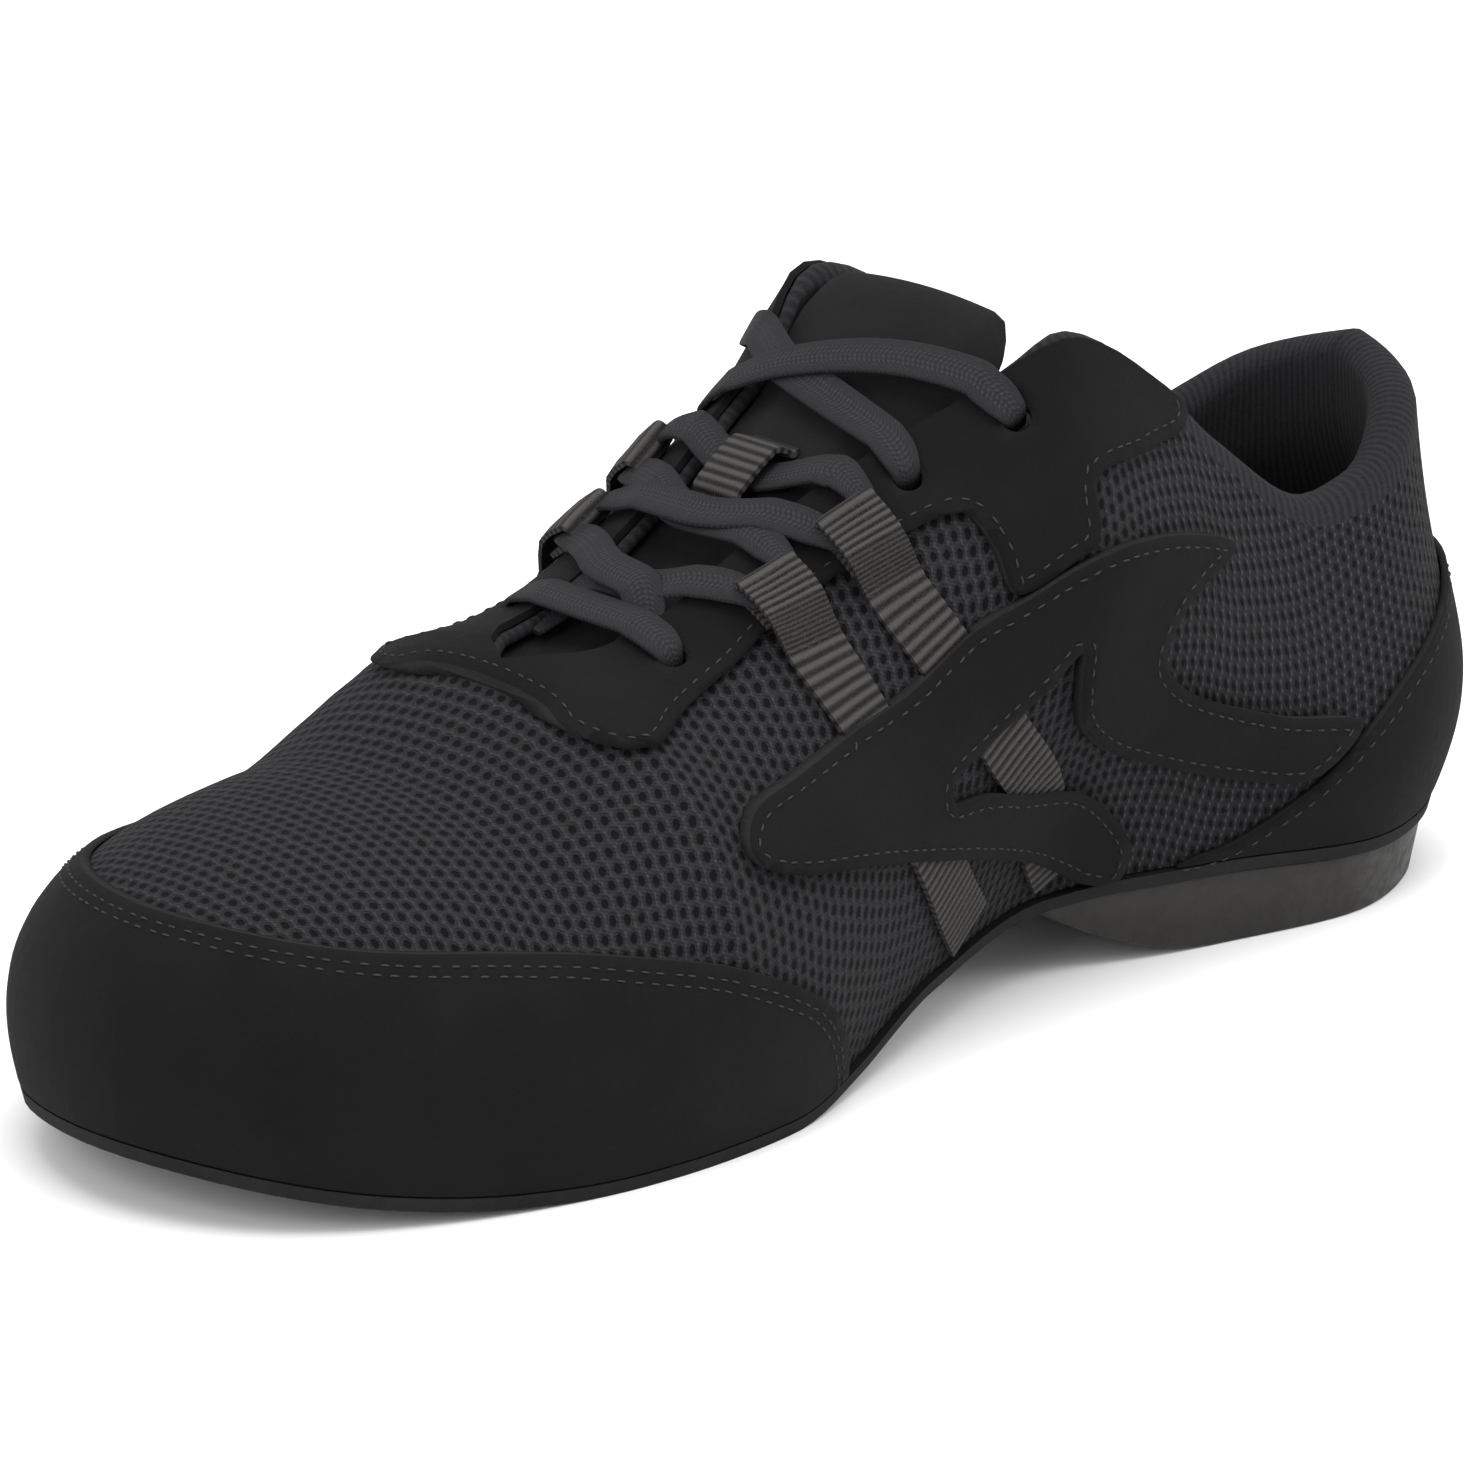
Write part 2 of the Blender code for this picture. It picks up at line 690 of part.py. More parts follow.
# Overlays. Each is the last's surface between two lifts, inside an outline drawn from the side.
# at is a share of SHOE_LENGTH; toe, instep and ankle are shares of those heights over the sole.
TOE_CAP = named_rows(
    "at toe",
    (0.570, -0.20),
    (0.578, 0.00),
    (0.600, 0.24),
    (0.620, 0.37),
    (0.650, 0.47),
    (0.700, 0.59),
    (0.760, 0.67),
    (0.825, 0.71),
    (0.895, 0.705),
    (0.970, 0.68),
    (1.030, 0.66),
    (1.030, -0.20),
)
EYESTAY = named_rows(
    "at instep",
    (0.285, 1.40),
    (0.285, 0.83),
    (0.330, 0.805),
    (0.382, 0.795),
    (0.388, 0.710),
    (0.394, 0.688),
    (0.401, 0.682),
    (0.442, 0.654),
    (0.449, 0.735),
    (0.458, 0.795),
    (0.500, 0.79),
    (0.545, 0.775),
    (0.580, 0.755),
    (0.616, 0.718),
    (0.653, 0.680),
    (0.683, 0.652),
    (0.708, 0.644),
    (0.722, 0.655),
    (0.729, 0.675),
    (0.731, 0.80),
    (0.731, 1.40),
)
COUNTER = named_rows(
    "at ankle",
    (0.285, -0.20),
    (0.275, 0.00),
    (0.235, 0.06),
    (0.190, 0.20),
    (0.150, 0.37),
    (0.119, 0.49),
    (0.060, 0.65),
    (0.030, 0.73),
    (-0.060, 0.80),
    (-0.060, -0.20),
)
FLANK = named_rows(
    "at instep",
    (0.669, 0.500),
    (0.656, 0.542),
    (0.616, 0.572),
    (0.573, 0.585),
    (0.523, 0.583),
    (0.476, 0.620),
    (0.442, 0.640),
    (0.401, 0.670),
    (0.369, 0.675),
    (0.310, 0.650),
    (0.263, 0.600),
    (0.300, 0.560),
    (0.322, 0.515),
    (0.332, 0.448),
    (0.313, 0.380),
    (0.224, 0.276),
    (0.160, 0.240),
    (0.166, 0.208),
    (0.196, 0.145),
    (0.252, 0.170),
    (0.316, 0.230),
    (0.366, 0.300),
    (0.392, 0.377),
    (0.400, 0.470),
    (0.402, 0.515),
    (0.424, 0.470),
    (0.467, 0.420),
    (0.496, 0.390),
    (0.496, 0.355),
    (0.462, 0.325),
    (0.420, 0.270),
    (0.371, 0.215),
    (0.335, 0.135),
    (0.316, 0.060),
    (0.320, 0.000),
    (0.345, 0.015),
    (0.366, 0.050),
    (0.400, 0.110),
    (0.476, 0.225),
    (0.568, 0.370),
    (0.643, 0.440),
    (0.664, 0.468),
)


def side_cutter(name, outline, share, height, sides):
    """A block with an outline drawn from the side, through one side of the shoe or both."""
    corners = []
    for row in outline:
        x = row["at"] * SHOE_LENGTH
        corners.append((x, seat_height(x) + row[share] * height))
    near = -BALL_WIDTH if -1 in sides else 0.0
    far = BALL_WIDTH if 1 in sides else 0.0
    return helper(loft(name, [[(x, y, z) for x, z in corners] for y in (near, far)], SUEDE))


def overlay(name, outline, share, height, sides=(1, -1), thick=OVERLAY_THICK):
    form = shell(name, SUEDE, lambda key: GAP + thick, lambda key: GAP)
    return boolean(form, "INTERSECT", side_cutter(name + "_outline", outline, share, height, sides))


# Webbing straps: each lies on the mesh from the sole up, passes under the flank's overlay, climbs
# the eyestay and ends in a loop that turns back under itself to hold the lace.
STRAP_FRONT = named_rows(
    "at instep",
    (0.570, 0.775),
    (0.566, 0.690),
    (0.552, 0.555),
    (0.526, 0.380),
    (0.485, 0.180),
    (0.448, 0.050),
)
STRAP_REAR = named_rows(
    "at instep",
    (0.515, 0.812),
    (0.509, 0.720),
    (0.492, 0.600),
    (0.448, 0.405),
    (0.410, 0.262),
    (0.383, 0.120),
    (0.366, 0.055),
)
STRAPS = {"front": STRAP_FRONT, "rear": STRAP_REAR}
WEBBING_WIDTH = 10 * MM
STRAP_RINGS = 14
LOOP_RADIUS = 1.6 * MM
LOOP_FLAT = 4 * MM
LOOP_SIDES = 6
LOOP_TAIL = 8.5 * MM
LOOP_EASE = 13 * MM
CLIMB = 4 * MM
CHANNEL_ROOM = 0.35 * MM
CHANNEL_START = 9 * MM
CHANNEL_OVERRUN = 0.3
STRAP_GAP = 0.4 * MM
EYESTAY_LINK = 0.458


def eyestay_edge(at):
    """The eyestay's lower border as a share of the instep's height, ahead of its link."""
    border = [row for row in EYESTAY if EYESTAY_LINK <= row["at"] <= THROAT_FRONT]
    return column(border, "instep", at)


def resting_lift(x, height):
    """Where a strap's middle rides over the last: on the mesh, or over the eyestay."""
    share = (height - seat_height(x)) / INSTEP_HEIGHT
    over = (share - eyestay_edge(x / SHOE_LENGTH)) * INSTEP_HEIGHT
    part = min(max((over + 1.5 * CLIMB) / CLIMB, 0.0), 1.0)
    return STRAP_GAP + WEBBING_THICK / 2 + part * part * (3 - 2 * part) * (OVERLAY_THICK + GAP)


def strap_route(table, count):
    """Points (x, height) down a strap, evenly spaced."""
    rows = [(r["at"] * SHOE_LENGTH, r["instep"] * INSTEP_HEIGHT) for r in table]
    line = smooth_line(rows, count)
    return [(x, seat_height(x) + over) for x, over in line]


def across_strap(side, route, i, width, lift):
    """Three points across a strap at place i of its route, at a lift over the last."""
    x, height = route[i]
    ahead = skin(side, *route[min(i + 1, len(route) - 1)])[0]
    along = skin(side, *route[max(i - 1, 0)])[0] - ahead
    point, normal = skin(side, x, height)
    aside = np.cross(along, normal)
    aside *= width / 2 / np.linalg.norm(aside)
    points = []
    for k in (-1, 0, 1):
        near, out = skin(side, x + aside[0] * k, height + aside[2] * k)
        points.append(near + out * lift(x + aside[0] * k, height + aside[2] * k))
    return np.array(points), normal, aside


def strap_sheet(side, route, width, lift):
    return np.array([across_strap(side, route, i, width, lift)[0] for i in range(len(route))])


def webbing(side, place):
    """A strap with its loop, as one ribbon folded over at its upper end."""
    route = strap_route(STRAPS[place], STRAP_RINGS)
    half = WEBBING_THICK / 2
    outer = strap_sheet(side, route, WEBBING_WIDTH, lambda x, z: resting_lift(x, z) + half)
    inner = strap_sheet(side, route, WEBBING_WIDTH, lambda x, z: resting_lift(x, z) - half)
    normal = skin(side, *route[0])[1]
    away = outer[:, 1] - outer[0, 1]
    far = np.linalg.norm(away, axis=1)
    top, low = [], []
    lifted_by = 2 * LOOP_RADIUS
    for i in range(len(route)):
        part = min(max((LOOP_EASE - far[i]) / (LOOP_EASE - LOOP_FLAT), 0.0), 1.0)
        raised = lifted_by * part * part * (3 - 2 * part) * normal
        top.append(outer[i] + raised)
        low.append(inner[i] + raised)
    down = away[2] / np.linalg.norm(away[2])
    centre = (outer[0] + inner[0]) / 2 + normal * LOOP_RADIUS
    turn_outer, turn_inner = [], []
    for k in range(1, LOOP_SIDES):
        turn = math.pi * k / LOOP_SIDES
        swing = normal * math.cos(turn) - down * math.sin(turn)
        turn_outer.append(centre + swing * (LOOP_RADIUS + half))
        turn_inner.append(centre + swing * (LOOP_RADIUS - half))
    tail = [i for i in range(len(route)) if far[i] < LOOP_TAIL]
    outward = top[::-1] + turn_outer + [inner[i] for i in tail]
    inward = low[::-1] + turn_inner + [outer[i] for i in tail]
    rings = [[*a, *b[::-1]] for a, b in zip(outward, inward)]
    return loft(f"webbing_{place}_{SIDE_NAMES[side]}", rings, WEBBING)


def channels(side):
    """The room that both straps take under the flank's overlay."""
    width = WEBBING_WIDTH + 2 * CHANNEL_ROOM
    points, faces = [], []
    for table in STRAPS.values():
        whole = np.array(strap_route(table, STRAP_RINGS))
        route = [p for p in whole if np.linalg.norm(p - whole[0]) > CHANNEL_START]
        route.append(route[-1] + (route[-1] - route[-2]) * CHANNEL_OVERRUN)
        top = strap_sheet(side, route, width, lambda x, z: STRAP_GAP + WEBBING_THICK + CHANNEL_ROOM)
        low = strap_sheet(side, route, width, lambda x, z: -GAP)
        start = len(points)
        ring_points, ring_faces = loft_faces([[*a, *b[::-1]] for a, b in zip(top, low)])
        points += ring_points
        faces += [[n + start for n in face] for face in ring_faces]
    return helper(solid("channels_" + SIDE_NAMES[side], points, faces, WEBBING))


def flank(side):
    form = overlay(f"flank_{SIDE_NAMES[side]}", FLANK, "instep", INSTEP_HEIGHT, (side,), FLANK_THICK)
    return boolean(form, "DIFFERENCE", channels(side))


# Eyelets: the front one by the throat's end, and two above the straps, on both sides. inset is how
# far each is from the throat's edge.
EYELETS = named_rows("at inset", (0.636, 7.6 * MM), (0.476, 5.4 * MM), (0.412, 4.7 * MM))
EYELET_RADIUS = 2.4 * MM
EYELET_SIDES = 10


def eyelet(side, number):
    """An eyelet's middle on the last's surface, and its outward direction."""
    row = EYELETS[number]
    height = skin_at_reach(side, row["at"], top_half_width(row["at"]) + row["inset"])[2]
    return skin(side, row["at"] * SHOE_LENGTH, height)


def eyelet_cutters():
    cutters = []
    for side in (1, -1):
        for number in range(len(EYELETS)):
            point, normal = eyelet(side, number)
            across = np.cross(normal, (1.0, 0.0, 0.0))
            across /= np.linalg.norm(across)
            other = np.cross(normal, across)
            rings = []
            for depth in (-3 * WALL, 3 * WALL):
                rings.append([])
                for k in range(EYELET_SIDES):
                    turn = 2 * math.pi * k / EYELET_SIDES
                    spoke = across * math.cos(turn) + other * math.sin(turn)
                    rings[-1].append(point + normal * depth + spoke * EYELET_RADIUS)
            cutters.append(helper(loft(f"eyelet_{number}_{SIDE_NAMES[side]}", rings, SUEDE)))
    return cutters


# Laces: flat ribbons over the tongue, one solid for each bar and each crossing. The shares say
# where the front crossing's strands start and pass, between the spine and the throat's edge.
LACE_WIDTH = 6.5 * MM
LACE_THICK = 1.7 * MM
LACE_SQUARE = 0.6
LACE_RINGS = 11
LACE_SIDES = 6
LACE_REST = 0.15 * MM
LACE_LIFT = OVERLAY_THICK + 2 * GAP + LACE_THICK / 2 + LACE_REST
LOOP_ASIDE = 3.5 * MM
LOOP_REACH = 3.8 * MM
STRAND_OVER = 0.85 * LACE_THICK
LOW_CROSSING_AT = 0.612
LOW_CROSSING_START = 0.55
LOW_CROSSING_PASS = 0.3
MIDDLE_CROSSING_AT = 0.558
HIGH_CROSSING_AT = 0.455
HIGH_CROSSING_ASIDE = 8 * MM
HIGH_STRAND_OVER = 1.0 * LACE_THICK
HIGH_STRAND_UNDER = 0.45 * MM
FRONT_BAR_AT = 0.637
FRONT_BAR_LIFT = 2.9 * MM


def cover_height(x, y):
    """Height of what a lace lies over: the wall, or between its edges the higher of the tongue
    and their own level.
    """
    at = x / SHOE_LENGTH
    across = y - spine(at)[1]
    height = throat_arch(at, across)[2]
    return max(height, top_height(at)) if abs(across) < top_half_width(at) else height


def cover(x, y):
    """The point that a lace lies over, and the direction away from it."""
    step = 1.5 * MM
    along = (cover_height(x + step, y) - cover_height(x - step, y)) / (2 * step)
    across = (cover_height(x, y + step) - cover_height(x, y - step)) / (2 * step)
    normal = np.array([-along, -across, 1.0])
    return np.array([x, y, cover_height(x, y)]), normal / np.linalg.norm(normal)


def ribbon(name, ends):
    """A flat lace through (x, y, lift) places, each at its lift over what the lace lies on."""
    route, away = [], []
    for x, y, lift in smooth_line(ends, LACE_RINGS):
        ground, normal = cover(x, y)
        route.append(ground + normal * lift)
        away.append(normal)
    rings = []
    for i, point in enumerate(route):
        along = route[min(i + 1, len(route) - 1)] - route[max(i - 1, 0)]
        along /= np.linalg.norm(along)
        aside = np.cross(along, away[i])
        aside /= np.linalg.norm(aside)
        face = np.cross(aside, along)
        ring = []
        for k in range(LACE_SIDES):
            turn = 2 * math.pi * (k + 0.5) / LACE_SIDES
            flat = math.copysign(abs(math.cos(turn)) ** LACE_SQUARE, math.cos(turn))
            thick = math.copysign(abs(math.sin(turn)) ** LACE_SQUARE, math.sin(turn))
            ring.append(point + aside * flat * LACE_WIDTH / 2 + face * thick * LACE_THICK / 2)
        rings.append(ring)
    return loft(name, rings, LACE)


def loop_place(side, place, ahead):
    """Where a lace ends before a strap's loop, toward its front or its back: (x, y)."""
    x = STRAPS[place][0]["at"] * SHOE_LENGTH
    height = seat_height(x) + STRAPS[place][0]["instep"] * INSTEP_HEIGHT
    y = skin(side, x, height)[0][1]
    return x + ahead * LOOP_ASIDE, y - side * LOOP_REACH


def bar(name, ends, between):
    """A ribbon from one place to another by way of the (x, y, lift) places between them."""
    (x, y), (far_x, far_y) = ends
    return ribbon(name, [(x, y, LACE_LIFT), *between, (far_x, far_y, LACE_LIFT)])


def crossing(name, strand):
    """Two ribbons joined where they cross. strand(side, over) gives the places of one."""
    under = ribbon(name, strand(1, False))
    return boolean(under, "UNION", helper(ribbon(name + "_over", strand(-1, True))))


def lace_crossing_low():
    def strand(side, over):
        x, y = loop_place(side, "front", 1)
        start, middle = spine(LOW_CROSSING_AT)
        half = top_half_width(LOW_CROSSING_AT)
        lift = LACE_LIFT + (STRAND_OVER if over else 0.0)
        near = (start, middle - side * LOW_CROSSING_START * half, lift)
        inside = (start, middle + side * LOW_CROSSING_PASS * half, lift)
        return [near, inside, (x, y, LACE_LIFT)]

    return crossing("lace_crossing_low", strand)


def lace_crossing_middle():
    def strand(side, over):
        lift = LACE_LIFT + (STRAND_OVER if over else 0.0)
        x, y = loop_place(side, "front", -1)
        far_x, far_y = loop_place(-side, "rear", 1)
        return [(x, y, LACE_LIFT), (*spine(MIDDLE_CROSSING_AT), lift), (far_x, far_y, LACE_LIFT)]

    return crossing("lace_crossing_middle", strand)


def lace_crossing_high():
    def strand(side, over):
        lift = LACE_LIFT + (HIGH_STRAND_OVER if over else HIGH_STRAND_UNDER)
        x, y = eyelet(-side, 2)[0][:2]
        far_x, far_y = eyelet(side, 1)[0][:2]
        meet, middle = spine(HIGH_CROSSING_AT)
        middle -= HIGH_CROSSING_ASIDE
        return [(x, y, LACE_LIFT), (meet, middle, lift), (far_x, far_y, LACE_LIFT)]

    return crossing("lace_crossing_high", strand)


# The tongue's loop: a webbing keeper over the bar that passes below it. ahead is a share of
# KEEPER_REACH from its middle, over a share of KEEPER_HEIGHT from the tongue.
TONGUE_LOOP_AT = 0.517
TONGUE_LOOP_ASIDE = 1 * MM
TONGUE_BAR_LIFT = -0.05 * MM
TONGUE_BAR_AHEAD = 3 * MM
TONGUE_BAR_EDGE = 1 * MM
TONGUE_BAR_OVER = 0.2 * MM
KEEPER_REACH = 6.4 * MM
KEEPER_HEIGHT = 4.3 * MM
KEEPER = named_rows(
    "ahead over",
    (1.00, 0.26),
    (0.84, 0.28),
    (0.77, 0.56),
    (0.61, 0.91),
    (0.31, 1.00),
    (-0.31, 1.00),
    (-0.61, 0.91),
    (-0.77, 0.53),
    (-0.84, 0.21),
    (-1.00, 0.16),
)


def tongue_loop():
    line = []
    for row in KEEPER:
        at = TONGUE_LOOP_AT + row["ahead"] * KEEPER_REACH / SHOE_LENGTH
        ground = throat_arch(at, -TONGUE_LOOP_ASIDE)
        behind, ahead = (throat_arch(at + step, -TONGUE_LOOP_ASIDE) for step in (-0.005, 0.005))
        slope = behind - ahead
        normal = np.array([slope[2], 0.0, -slope[0]])
        line.append(ground + normal / np.linalg.norm(normal) * row["over"] * KEEPER_HEIGHT)
    rings = []
    for i, point in enumerate(line):
        along = line[min(i + 1, len(line) - 1)] - line[max(i - 1, 0)]
        face = np.cross(along, (0.0, 1.0, 0.0))
        face *= WEBBING_THICK / 2 / np.linalg.norm(face)
        aside = np.array([0.0, WEBBING_WIDTH / 2, 0.0])
        corners = [(face, aside), (face, -aside), (-face, -aside), (-face, aside)]
        rings.append([point + up + over for up, over in corners])
    return loft("tongue_loop", rings, WEBBING)


def centre_on_floor():
    """Moves the whole shoe so that the origin is under the middle of its box."""
    bpy.context.view_layer.update()
    graph = bpy.context.evaluated_depsgraph_get()
    low, high = np.full(3, np.inf), np.full(3, -np.inf)
    for piece in bpy.data.objects:
        if not piece.hide_render:
            corners = np.array([v.co for v in piece.evaluated_get(graph).data.vertices])
            low = np.minimum(low, corners.min(axis=0))
            high = np.maximum(high, corners.max(axis=0))
    shift = -(low + high) / 2
    shift[2] = -low[2]
    for piece in bpy.data.objects:
        piece.location = shift


def build_shoe():
    outsole()
    heel()
    insole()
    body = upper()
    tongue()
    overlay("toe_cap", TOE_CAP, "toe", TOE_BOX_HEIGHT)
    overlay("heel_counter", COUNTER, "ankle", ANKLE_HEIGHT)
    eyestay = overlay("eyestay", EYESTAY, "instep", INSTEP_HEIGHT)
    for cutter in eyelet_cutters():
        boolean(body, "DIFFERENCE", cutter)
        boolean(eyestay, "DIFFERENCE", cutter)
    for side in (1, -1):
        flank(side)
        for place in STRAPS:
            webbing(side, place)
    ends = [eyelet(side, 0)[0][:2] for side in (-1, 1)]
    bar("lace_bar_front", ends, [(*spine(FRONT_BAR_AT), FRONT_BAR_LIFT)])
    lace_crossing_low()
    lace_crossing_middle()
    ends = [loop_place(side, "rear", -1) for side in (-1, 1)]
    x, y = spine(TONGUE_LOOP_AT)
    edge = top_half_width(TONGUE_LOOP_AT) + TONGUE_BAR_EDGE
    low = (x, y - TONGUE_LOOP_ASIDE, TONGUE_BAR_LIFT)
    high = LACE_LIFT + TONGUE_BAR_OVER
    near, far = ((x - TONGUE_BAR_AHEAD, y + side * edge, high) for side in (-1, 1))
    bar("lace_bar_tongue", ends, [near, low, far])
    lace_crossing_high()
    tongue_loop()


build_shoe()
centre_on_floor()
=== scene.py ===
"""A low dance sneaker for the left foot: mesh upper with suede overlays, webbing lace loops,
flat laces, padded tongue and collar, thin suede sole and a low rubber heel.

Lengths are in metres. The shoe is shaped with the back of its heel at X = 0 and its toe toward X,
then every piece is moved to the shoe's place.
"""

import math

import bmesh
import bpy
import numpy as np
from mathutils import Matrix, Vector
from mathutils.bvhtree import BVHTree
from mathutils.kdtree import KDTree


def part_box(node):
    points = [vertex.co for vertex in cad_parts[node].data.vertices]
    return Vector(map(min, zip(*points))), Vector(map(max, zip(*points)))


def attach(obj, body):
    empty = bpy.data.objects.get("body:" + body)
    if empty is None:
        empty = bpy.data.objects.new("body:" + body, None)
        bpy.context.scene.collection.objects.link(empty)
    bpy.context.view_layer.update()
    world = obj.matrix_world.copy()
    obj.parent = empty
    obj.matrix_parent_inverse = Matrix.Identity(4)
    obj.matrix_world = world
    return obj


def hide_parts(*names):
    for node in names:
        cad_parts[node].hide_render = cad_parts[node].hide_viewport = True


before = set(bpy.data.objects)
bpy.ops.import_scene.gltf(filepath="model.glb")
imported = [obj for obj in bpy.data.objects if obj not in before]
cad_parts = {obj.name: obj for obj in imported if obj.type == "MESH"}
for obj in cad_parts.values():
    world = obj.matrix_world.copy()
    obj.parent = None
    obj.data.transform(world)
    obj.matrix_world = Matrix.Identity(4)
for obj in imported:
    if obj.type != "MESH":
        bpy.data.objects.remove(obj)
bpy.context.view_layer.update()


# Outsole: one thin layer of suede under the whole shoe, cut with a raw edge that shows all round.
# Its outline and the rise of its heel, arch and toe are those of the form that the shoe is made on.
MM = 0.001
SHOE_LENGTH = 268 * MM
BALL_WIDTH = 98 * MM
HEEL_WIDTH = 64 * MM
HEEL_LIFT = 10.5 * MM
ARCH_LIFT = 12 * MM
TOE_SPRING = 10 * MM
SOLE_THICK = 2.2 * MM
SOLE_TAPER = 0.6 * MM
GAP = 0.3 * MM
HEEL_CENTRE = 0.125
TOE_CENTRE = 0.80
THROAT_FRONT = 0.70
HEEL_RIBS = 14
MIDDLE_RIBS = 54
TOE_RIBS = 18
RINGS = 10


def named_rows(names, *rows):
    """A table: one dictionary for each row, with the columns' names as its keys."""
    return [dict(zip(names.split(), row)) for row in rows]


# Outline of the sole, once round from the back of the heel by the outer side. at is a share of
# SHOE_LENGTH; heel and ball are shares of HEEL_WIDTH and BALL_WIDTH, positive to the outer side.
OUTLINE = named_rows(
    "at heel ball",
    (0.000, 0.00, 0.00),
    (0.030, 0.28, 0.00),
    (0.120, 0.49, 0.00),
    (0.250, 0.44, 0.00),
    (0.390, 0.27, 0.08),
    (0.520, 0.13, 0.28),
    (0.640, 0.00, 0.480),
    (0.760, 0.00, 0.500),
    (0.890, 0.00, 0.415),
    (0.965, 0.00, 0.270),
    (1.000, 0.00, 0.030),
    (0.975, 0.00, -0.230),
    (0.900, 0.00, -0.415),
    (0.790, 0.00, -0.490),
    (0.700, 0.00, -0.490),
    (0.560, -0.10, -0.310),
    (0.420, -0.24, -0.110),
    (0.270, -0.43, 0.00),
    (0.120, -0.49, 0.00),
    (0.030, -0.28, 0.00),
)
# Height of the sole's upper face: shares of HEEL_LIFT, ARCH_LIFT and TOE_SPRING over SOLE_THICK.
SEAT = named_rows(
    "at heel arch toe",
    (0.00, 1.00, 0.00, 0.00),
    (0.10, 1.02, 0.00, 0.00),
    (0.20, 1.00, 0.14, 0.00),
    (0.30, 0.75, 0.46, 0.00),
    (0.35, 0.45, 0.72, 0.00),
    (0.39, 0.22, 0.88, 0.00),
    (0.48, 0.00, 0.75, 0.00),
    (0.56, 0.00, 0.25, 0.00),
    (0.63, 0.00, 0.00, 0.00),
    (0.76, 0.00, 0.00, 0.00),
    (0.83, 0.00, 0.00, 0.10),
    (0.90, 0.00, 0.00, 0.35),
    (1.00, 0.00, 0.00, 1.00),
)
def column(table, name, at):
    """The named column at a share of the length, by a cubic that never passes its rows' values."""
    place = [row["at"] for row in table]
    value = [row[name] for row in table]
    step = [b - a for a, b in zip(place, place[1:])]
    rise = [(b - a) / s for a, b, s in zip(value, value[1:], step)]
    slope = [rise[0]] + [0.0] * (len(rise) - 1) + [rise[-1]]
    for i in range(1, len(rise)):
        if rise[i - 1] * rise[i] > 0:
            before = 2 * step[i] + step[i - 1]
            after = step[i] + 2 * step[i - 1]
            slope[i] = (before + after) / (before / rise[i - 1] + after / rise[i])
    at = min(max(at, place[0]), place[-1])
    i = max(k for k in range(len(step)) if at >= place[k])
    t = (at - place[i]) / step[i]
    start = value[i] * (1 + 2 * t) * (1 - t) ** 2 + slope[i] * step[i] * t * (1 - t) ** 2
    end = value[i + 1] * t * t * (3 - 2 * t) + slope[i + 1] * step[i] * t * t * (t - 1)
    return start + end


def closed_curve(points, per_span=10):
    """A smooth closed line through the points, by centripetal Catmull-Rom spans."""
    points = np.array(points)
    count = len(points)
    line = []
    for i in range(count):
        a, b, c, d = (points[(i + k) % count] for k in (-1, 0, 1, 2))
        ab, bc, cd = (np.linalg.norm(q - p) ** 0.5 for p, q in ((a, b), (b, c), (c, d)))
        start = (c - b) + bc * ((b - a) / ab - (c - a) / (ab + bc))
        end = (c - b) + bc * ((d - c) / cd - (d - b) / (bc + cd))
        for t in np.arange(per_span) / per_span:
            cubic = 2 * (b - c) + start + end
            square = -3 * (b - c) - 2 * start - end
            line.append(cubic * t**3 + square * t * t + start * t + b)
    return np.array(line)


OUTLINE_LINE = closed_curve(
    [
        (row["at"] * SHOE_LENGTH, row["heel"] * HEEL_WIDTH + row["ball"] * BALL_WIDTH)
        for row in OUTLINE
    ]
)
def reach(origin, direction):
    """How far the sole's outline is from a point inside it, along a level direction."""
    a = OUTLINE_LINE - origin
    b = np.roll(OUTLINE_LINE, -1, axis=0) - origin
    cross_a = direction[0] * a[:, 1] - direction[1] * a[:, 0]
    cross_b = direction[0] * b[:, 1] - direction[1] * b[:, 0]
    meets = np.nonzero((cross_a <= 0) != (cross_b <= 0))[0]
    part = cross_a[meets] / (cross_a[meets] - cross_b[meets])
    along = (a[meets] + (b[meets] - a[meets]) * part[:, None]) @ direction
    return min(along[along > 0])


def spine(at):
    """The point halfway between the two edges of the sole, at a share of the length."""
    origin = np.array([at * SHOE_LENGTH, 0.0])
    left = reach(origin, np.array([0.0, 1.0]))
    right = reach(origin, np.array([0.0, -1.0]))
    return origin + np.array([0.0, (left - right) / 2])


def seat_height(x):
    """Height of the sole's upper face at x."""
    at = x / SHOE_LENGTH
    lift = column(SEAT, "heel", at) * HEEL_LIFT + column(SEAT, "arch", at) * ARCH_LIFT
    return SOLE_THICK + lift + column(SEAT, "toe", at) * TOE_SPRING


def rib_line():
    """Where each rib starts on the spine, its angle from the toe's direction, and its station."""
    found = []
    for i in range(HEEL_RIBS):
        found.append((HEEL_CENTRE, 180 - 90 * i / HEEL_RIBS, HEEL_CENTRE * i / HEEL_RIBS))
    for at in np.linspace(HEEL_CENTRE, TOE_CENTRE, MIDDLE_RIBS + 1):
        found.append((at, 90, at))
    for i in range(1, TOE_RIBS + 1):
        share = i / TOE_RIBS
        found.append((TOE_CENTRE, 90 - 90 * share, TOE_CENTRE + (1 - TOE_CENTRE) * share))
    return found


RIBS = rib_line()
LAST_RIB = len(RIBS) - 1
SOLE_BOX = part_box("outsole")
SHOE_PLACE = Vector(((SOLE_BOX[0].x + SOLE_BOX[1].x - SHOE_LENGTH) / 2, 0, 0))
SHOE_PLACE.y = (SOLE_BOX[0].y + SOLE_BOX[1].y) / 2
SHOE_PLACE.y -= (OUTLINE_LINE[:, 1].max() + OUTLINE_LINE[:, 1].min()) / 2


